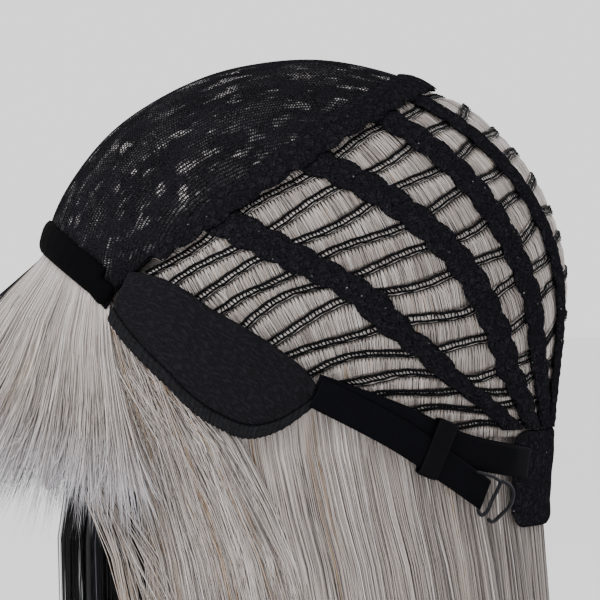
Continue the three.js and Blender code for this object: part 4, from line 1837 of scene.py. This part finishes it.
@dataclass
class LongHair:
    """One half of the hair: the layer under the cap and the long hair that hangs from it."""

    side: Side
    drop: float = 328
    end_thickness: float = 2.4
    thickness: float = 4
    swell: float = 5
    relief: float = 1.5
    locks: int = 10
    end_rag: float = 9
    middle_gap: float = 0.2
    hairs: int = 2100
    front_hairs: int = 900
    fan_start: float = 0.065
    fan: float = 0.27
    fan_drop: float = 105
    under_cap: float = 45
    longer: tuple[float, float] = (-14, 8)
    late_share: float = 0.08
    late_top: tuple[float, float] = (-0.23, -0.12)
    late_start: float = 30
    temple_reach: float = 0.17
    draw_in: float = 0.075
    draw_in_drop: float = 75
    inside_share: float = 0.22
    inside_lift: tuple[float, float] = (-1.2, 0.2)
    outside_lift: tuple[float, float] = (-0.1, 2.0)
    stray: float = 0.004
    widths: tuple[float, float] = (0.28, 0.66)
    front_widths: tuple[float, float] = (0.28, 0.56)
    heap: float = 6.5
    heap_share: float = 0.07
    heap_floor: float = 2.6
    rows: Columns = Columns(
        "order rise drop front forward relief swell",
        (
            (0, 90, 0, -90, 0, 0, 0),
            (1, 64, 0, -90, 0, 0, 0),
            (2, 40, 0, -90, 0, 0, 0),
            (3, 23, 0, -90, 0, 0, 0),
            (4, 11.5, 0, -88, 0, 0, 0),
            (5, 8, 0, -71, 0, 0, 0),
            (6, 3.5, 0, -55, 0, 0, 0),
            (7, 0, 0.01, -47, 0, 0, 0),
            (8, 0, 0.05, -43, 0, 0.3, 0),
            (9, 0, 0.12, -43, 0.07, 0.7, 0),
            (10, 0, 0.2, -44, 0.2, 0.8, 0),
            (11, 0, 0.28, -41, 0.29, 0.8, 0),
            (12, 0, 0.34, -37, 0.32, 1, 0.9),
            (13, 0, 0.5, -35, 0.33, 1.1, 1),
            (14, 0, 0.75, -34, 0.32, 1.2, 1),
            (15, 0, 1, -34, 0.31, 1.2, 0.9),
        ),
    )

    def point(self, order: Array, share: Array, depth: Array, extra: Array, longer: Array) -> Array:
        """Points in the hair.

        Args:
            order: how far down the table of rows.
            share: 0 at the front edge and 1 at the back's middle.
            depth: 0 at the outer face and 1 at the inner one.
            extra: millimetres outward of that.
            longer: millimetres below the ends' level, at the last row.

        Returns:
            The points, on the left side.
        """
        order, share, depth, extra = np.broadcast_arrays(order, share, depth, extra)
        front = self.rows.at("front", order)
        drop = self.rows.at("drop", order)
        turn = np.radians(mixed(front, 90.0, share))
        ridge = np.cos(2 * np.pi * self.locks * share)
        groove = self.rows.at("relief", order) * self.relief * (1 - ridge)
        outer = LIFTS.hair_outer - groove
        inner = LIFTS.hair_inner + drop * (self.thickness - self.end_thickness)
        lift = self.rows.at("swell", order) * self.swell + mixed(outer, inner, depth) + extra
        rise = np.radians(self.rows.at("rise", order))
        level = np.cos(rise)
        dome = CAP.on_form(np.stack([np.cos(turn) * level, np.sin(turn) * level, np.sin(rise)], -1), lift)
        uneven = 0.5 + 0.5 * np.sin(5 + 7 * share * np.pi)
        rag = self.end_rag * (0.45 * (1 - ridge) + 0.4 * uneven)
        end = np.clip(order - 14, 0, 1)
        wall = CAP.on_wall(np.cos(turn), np.sin(turn), drop * self.drop - end * (rag - longer), lift)
        if self.side is Side.RIGHT:
            wall[..., 1] -= self.rows.at("forward", order) * CAP.half_length * (1 - share) ** 3
        points = np.where((drop <= 0)[..., None], dome, wall)
        points[..., 0] += self.middle_gap
        return points

    def build(self) -> None:
        """Makes the hair of one side."""
        side = self.side
        random = np.random.default_rng(12 + side.value)
        body = self.layer(random)
        self.strands(body, random)
        self.front_strands(body, random)
        piece = body.turned(side).piece(f"long_hair_{side.word}", hair_slot(side), hair_finish(side))
        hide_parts(f"hair_{side.word}")

    def streaks(self) -> tuple[Streak, ...]:
        """The streaks of a side's hair.

        Returns:
            The streaks, each with its place from the front edge to the back.
        """
        if self.side is Side.RIGHT:
            # painted highlight: on the black side the streaks are light, glossy-looking hairs near the front
            # edge
            return (Streak(0.012, 0.006, 0.93), Streak(0.05, 0.004, 0.95), Streak(0.12, 0.01, 0.84))
        return (
            Streak(0.02, 0.018, 0.84),
            Streak(0.08, 0.008, 0.86),
            Streak(0.18, 0.005, 0.9),
            Streak(0.27, 0.006, 0.93),
            Streak(0.38, 0.009, 0.9),
            Streak(0.62, 0.006, 0.87),
            Streak(0.8, 0.03, 0.2),
            Streak(0.97, 0.012, 0.12),
        )

    def tones(self, share: Array, random: np.random.Generator) -> Array:
        """A tone for each hair.

        Args:
            share: where each hair lies, from the front edge to the back.
            random: the source of their unevenness.

        Returns:
            The tones.
        """
        if self.side is Side.RIGHT:
            tone = np.clip(random.normal(0.4, 0.2, share.shape), 0, 0.82)
        else:
            locks = 0.06 * np.sin(share * 61) + 0.05 * np.sin(share * 173 + 2) + 0.04 * np.sin(share * 401)
            # painted shade: hair toward the back is darker, where less light falls
            shade = 0.17 * np.clip((share - 0.5) / 0.25, 0, 1)
            tone = np.clip(random.normal(0.52, 0.13, share.shape) + locks - shade, 0.08, 0.78)
        for streak in self.streaks():
            near = np.abs(share - streak.place) < streak.width * random.uniform(0.4, 1.4, share.shape)
            tone = np.where(near & (random.random(share.shape) < 0.7), streak.tone, tone)
        return tone

    def layer(self, random: np.random.Generator) -> Body:
        """The closed layer that the single hairs lie on.

        Args:
            random: the source of its unevenness.

        Returns:
            The layer's body, on the left side.
        """
        knots = np.interp(shares(31), [0, 0.3, 1], [0, 6, 15])
        order, share = np.meshgrid(knots, shares(150), indexing="ij")
        fine = random.uniform(-0.35, 0.35, share.shape[1]) * np.clip((order - 5) / 3, 0, 1)
        longer = random.uniform(-4, 4, share.shape[1])
        # painted shade: the layer is drawn darker than its hairs, and darkest under the cap, where it shows
        # only in the gaps between them
        tone = self.tones(share[0], random) * mixed(0.25, 0.85, np.clip((order - 7) / 2, 0, 1))
        along = np.full(order.shape, 0.5)
        body = Body()
        outer = self.point(order, share, np.zeros(share.shape), fine, longer)
        inner = self.point(order, share, np.ones(share.shape), 0.5 * fine, longer)
        body.sheet(outer, inner, np.stack([tone, along], -1))
        return body

    def strands(self, body: Body, random: np.random.Generator) -> None:
        """Adds the single hairs over the layer, on both of its faces.

        Args:
            body: what they are added to.
            random: the source of their unevenness.
        """
        count = self.hairs
        share = (np.arange(count) + random.random(count)) / count
        tone = self.tones(share, random)
        order = np.array([8.0, 8.8, 9.7, 10.6, 11.4, 12.3, 13.6, 15.0])
        below = self.rows.at("drop", order) * self.drop
        fade = np.exp(-((below / self.draw_in_drop) ** 2))
        fan = -self.draw_in * np.sin(np.pi * share)[:, None] * fade
        stray = random.normal(0, self.stray, count)[:, None]
        wander = stray * np.sin(order * random.uniform(0.3, 0.9, count)[:, None])
        place = np.clip(share[:, None] + fan + wander, 0.0, 1.0)
        inside = random.random(count) < self.inside_share
        depth = np.broadcast_to(np.where(inside, 1.0, 0.0)[:, None], place.shape)
        lifts = [random.uniform(*ends, count) for ends in (self.inside_lift, self.outside_lift)]
        out = np.where(inside, *lifts)[:, None]
        free = np.clip((below - self.under_cap) / 40, 0, 1)
        longer = random.uniform(*self.longer, count)[:, None]
        paths = self.point(order[None], place, depth, out * free - 0.3 * (1 - free), longer)
        outward = unit(paths * (1, 1, 0)) * np.where(inside, -1, 1)[:, None, None]
        width = random.uniform(*self.widths, count)[:, None] * np.array([0.9, 1, 1, 1, 1, 1, 0.9, 0.3])
        body.hairs(paths, outward, width, tone)

    def front_strands(self, body: Body, random: np.random.Generator) -> None:
        """Adds hairs that come from under the temple and fan out backward under the ear tab.

        Args:
            body: what they are added to.
            random: the source of their unevenness.
        """
        count = self.front_hairs
        top = -self.temple_reach * random.random(count) ** 1.6
        end = self.fan_start + self.fan * random.random(count) ** 1.3
        late = (random.random(count) < self.late_share) & (self.side is Side.LEFT)
        end = np.where(late, 0.6 * end - 0.05, end)
        top = np.where(late, random.uniform(*self.late_top, count), top)
        order = np.array([6.8, 7.7, 8.6, 9.6, 10.5, 11.3, 12.3, 15.0])
        below = self.rows.at("drop", order) * self.drop
        start = np.where(late, self.late_start, 0)[:, None]
        fall = 1.04 * (1 - np.exp(-2.2 * np.clip((below - start) / self.fan_drop, 0, 1.5)))
        fall = fall ** np.where(late, 1.6, 1.15)[:, None]
        place = mixed(top[:, None], end[:, None], fall)
        heap = self.heap_floor + self.heap * np.exp(-((np.maximum(place, 0) / self.heap_share) ** 2))
        height = random.uniform(0.1, 1.0, count)
        out = height[:, None] * heap * np.clip(below / 30, 0, 1)
        longer = random.uniform(*self.longer, count)[:, None]
        paths = self.point(order[None], place, np.zeros(place.shape), out, longer)
        width = random.uniform(*self.front_widths, count)[:, None] * np.array([0.9, 1, 1, 1, 1, 1, 0.8, 0.3])
        tone = self.tones(np.maximum(end, 0.025), random)
        if self.side is Side.RIGHT:
            # painted highlight: a few of the outermost front hairs on the black side take the lightest tone
            tone = np.where((height > 0.88) & (end < 0), 0.98, tone)
        body.hairs(paths, unit(paths * (1, 1, 0)), width, tone)


@dataclass
class Bangs:
    """One half of the bangs: a fan of locks that starts under the forehead hem."""

    side: Side
    length: float = 92
    tuck: float = 6
    thickness: float = 5
    tip_thickness: float = 1.6
    locks: int = 8
    middle_gap: float = 0.2
    furthest: float = -183.5
    longer: tuple[float, float] = (-0.12, 0.2)
    layer_longer: tuple[float, float] = (-0.16, -0.06)
    stray: tuple[float, float] = (3, 18)
    hairs: int = 2300
    wander: float = 0.02
    flutter: tuple[float, float] = (2.0, 4.5)
    raggedness: float = 9
    inside_share: float = 0.25
    inside_lift: tuple[float, float] = (-1.0, 0.2)
    outside_lift: tuple[float, float] = (-0.3, 1.8)
    widths: tuple[float, float] = (0.24, 0.5)
    sections: Columns = Columns(
        "across forward outward length", ((0, 37, 0, 1), (0.5, 20, 9, 0.98), (1, -8, 13, 0.86))
    )

    def point(self, flight: Array, share: Array, rise: Array, extra: Array, longer: Array) -> Array:
        """Points in the bangs.

        Args:
            flight: below 0 under the hem, 0 at the rim and 1 at the tips.
            share: 0 at the middle and 1 at the temple.
            rise: 0 at the inner face and 1 at the outer one.
            extra: millimetres outward of that.
            longer: a share of the length added at the tips.

        Returns:
            The points, on the left side.
        """
        flight, share, rise, extra = np.broadcast_arrays(flight, share, rise, extra)
        across = 0.004 + 0.95 * share
        ridge = np.cos(2 * np.pi * self.locks * share)
        lift = mixed(LIFTS.track_inner, LIFTS.track_outer, rise)
        out = np.maximum(flight, 0)
        station = -1 + np.maximum(-flight, 0) * self.tuck / CAP.station_length(-1, across, 1)
        rim = CAP.at(station, across, lift)
        shortfall = 0.1 * (1 - ridge) * out**6
        length = self.length * self.sections.at("length", share) * (out - shortfall + longer * out**3)
        forward = np.radians(self.sections.at("forward", share))
        outward = np.radians(self.sections.at("outward", share))
        swell = np.sin(np.pi * np.minimum(out * 1.4, 0.5))
        full = mixed(LIFTS.track_outer - LIFTS.track_inner, self.thickness, swell)
        thick = mixed(full, self.tip_thickness, out**2)
        push = rise * (thick - 2 + out * ridge) * (1 - 0.85 * share**8) + extra
        facing = across * np.pi * 0.32
        normal = unit(np.stack([np.sin(facing), -np.cos(facing), np.tan(forward) * 0.8], -1))
        sweep = mixed(0.8, 1.25, out)
        moved = np.stack(
            [
                length * np.sin(outward),
                -length * np.sin(forward) * sweep,
                -length * np.cos(forward) * np.cos(outward) - out * 0.3,
            ],
            -1,
        )
        points = rim + moved + push[..., None] * normal
        points[..., 0] += self.middle_gap
        return points

    def build(self) -> None:
        """Makes the bangs of one side."""
        side = self.side
        random = np.random.default_rng(52 + side.value)
        body = self.layer(random)
        self.strands(body, random)
        piece = body.turned(side).piece(f"fringe_{side.word}", hair_slot(side), fringe_finish(side))
        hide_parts(f"bangs_{side.word}")

    def tones(self, share: Array, random: np.random.Generator) -> Array:
        """A tone for each hair.

        Args:
            share: where each hair lies, from the middle to the temple.
            random: the source of their unevenness.

        Returns:
            The tones, from 0 to 1.
        """
        if self.side is Side.RIGHT:
            return np.clip(random.normal(0.4, 0.2, share.shape), 0, 0.85)
        locks = 0.07 * np.sin(share * 47) + 0.05 * np.sin(share * 121 + 1)
        return np.clip(random.normal(0.54, 0.17, share.shape) + locks, 0.06, 0.84)

    def layer(self, random: np.random.Generator) -> Body:
        """The closed layer that the single hairs lie on.

        Args:
            random: the source of its unevenness.

        Returns:
            The layer's body, on the left side.
        """
        flights = np.concatenate([[-1.0, -0.5], shares(20)])
        flight, share = np.meshgrid(flights, shares(120), indexing="ij")
        fine = random.uniform(-0.3, 0.3, share.shape[1]) * np.clip(flight * 3, 0, 1)
        longer = random.uniform(*self.layer_longer, share.shape[1])
        # painted shade: the layer is drawn darker than the hairs that lie on it
        tone = np.broadcast_to(self.tones(share[0], random) * 0.85, share.shape)
        body = Body()
        ones = np.ones(share.shape)
        outer = self.point(flight, share, ones, fine, longer)
        inner = self.point(flight, share, 0 * ones, 0.5 * fine, longer)
        body.sheet(outer, inner, np.stack([tone, np.clip(flight, 0, 1) * 0.5], -1))
        return body

    def strands(self, body: Body, random: np.random.Generator) -> None:
        """Adds the single hairs over the layer.

        Args:
            body: what they are added to.
            random: the source of their unevenness.
        """
        count = self.hairs
        share = (np.arange(count) + random.random(count)) / count
        flight = np.array([-0.4, 0.05, 0.24, 0.46, 0.66, 0.84, 1.0])
        free = np.maximum(flight, 0)
        wander = random.normal(0, self.wander, count)[:, None] * free**1.5
        place = np.clip(share[:, None] * 1.03 + wander, 0, 1.05)
        inside = random.random(count) < self.inside_share
        rise = np.broadcast_to(np.where(inside, 0.0, 1.0)[:, None], place.shape)
        lifts = [random.uniform(*ends, count) for ends in (self.inside_lift, self.outside_lift)]
        out = np.where(inside, *lifts)[:, None]
        longer = random.uniform(*self.longer, count)[:, None]
        paths = self.point(flight[None], place, rise, out * np.clip(flight * 4, 0, 1), longer)
        paths[..., 1] -= random.normal(*self.flutter, count)[:, None] * free**3
        if self.side is Side.RIGHT:
            stray = random.uniform(*self.stray, count) * np.maximum(1 - 3 * share, 0)
            paths[..., 1] -= stray[:, None] * free
        self.draw_back(paths, random)
        outward = np.array([0.75, -0.6, 0.1])
        width = random.uniform(*self.widths, count)[:, None] * np.array([1, 1, 1, 1, 0.9, 0.7, 0.2])
        body.hairs(paths, outward, width, self.tones(share, random))

    def draw_back(self, paths: Array, random: np.random.Generator) -> None:
        """Draws hairs back that would reach further forward than bangs do.

        Args:
            paths: the hairs' middle lines, which are changed.
            random: the source of their unevenness.
        """
        start = paths[:, :1, 1]
        travel = paths[..., 1] - start
        furthest = self.furthest + random.uniform(0, self.raggedness, len(paths))[:, None]
        most = np.minimum(travel.min(1, keepdims=True), -1)
        paths[..., 1] = start + travel * np.minimum((furthest - start) / most, 1)


def main() -> None:
    """Builds the wig and the studio."""
    logging.basicConfig(level=logging.INFO, format="%(message)s")
    Studio().build()
    LongHair(Side.LEFT).build()
    LongHair(Side.RIGHT, hairs=1500, front_hairs=700, fan_start=-0.02, fan_drop=40).build()
    RowHair(Side.LEFT).build()
    RowHair(Side.RIGHT, hairs_per_bundle=4, width=0.45).build()
    for side in Side:
        Bangs(side).build()
    WeftTracks().build()
    FrontPanel().build()
    ForeheadHem().build()
    CrownSeam().build()
    LaceBands().build()
    NapePanel().build()
    for side in Side:
        EarTab(side).build()
        Straps(side).build()


if __name__ == "__main__":
    main()
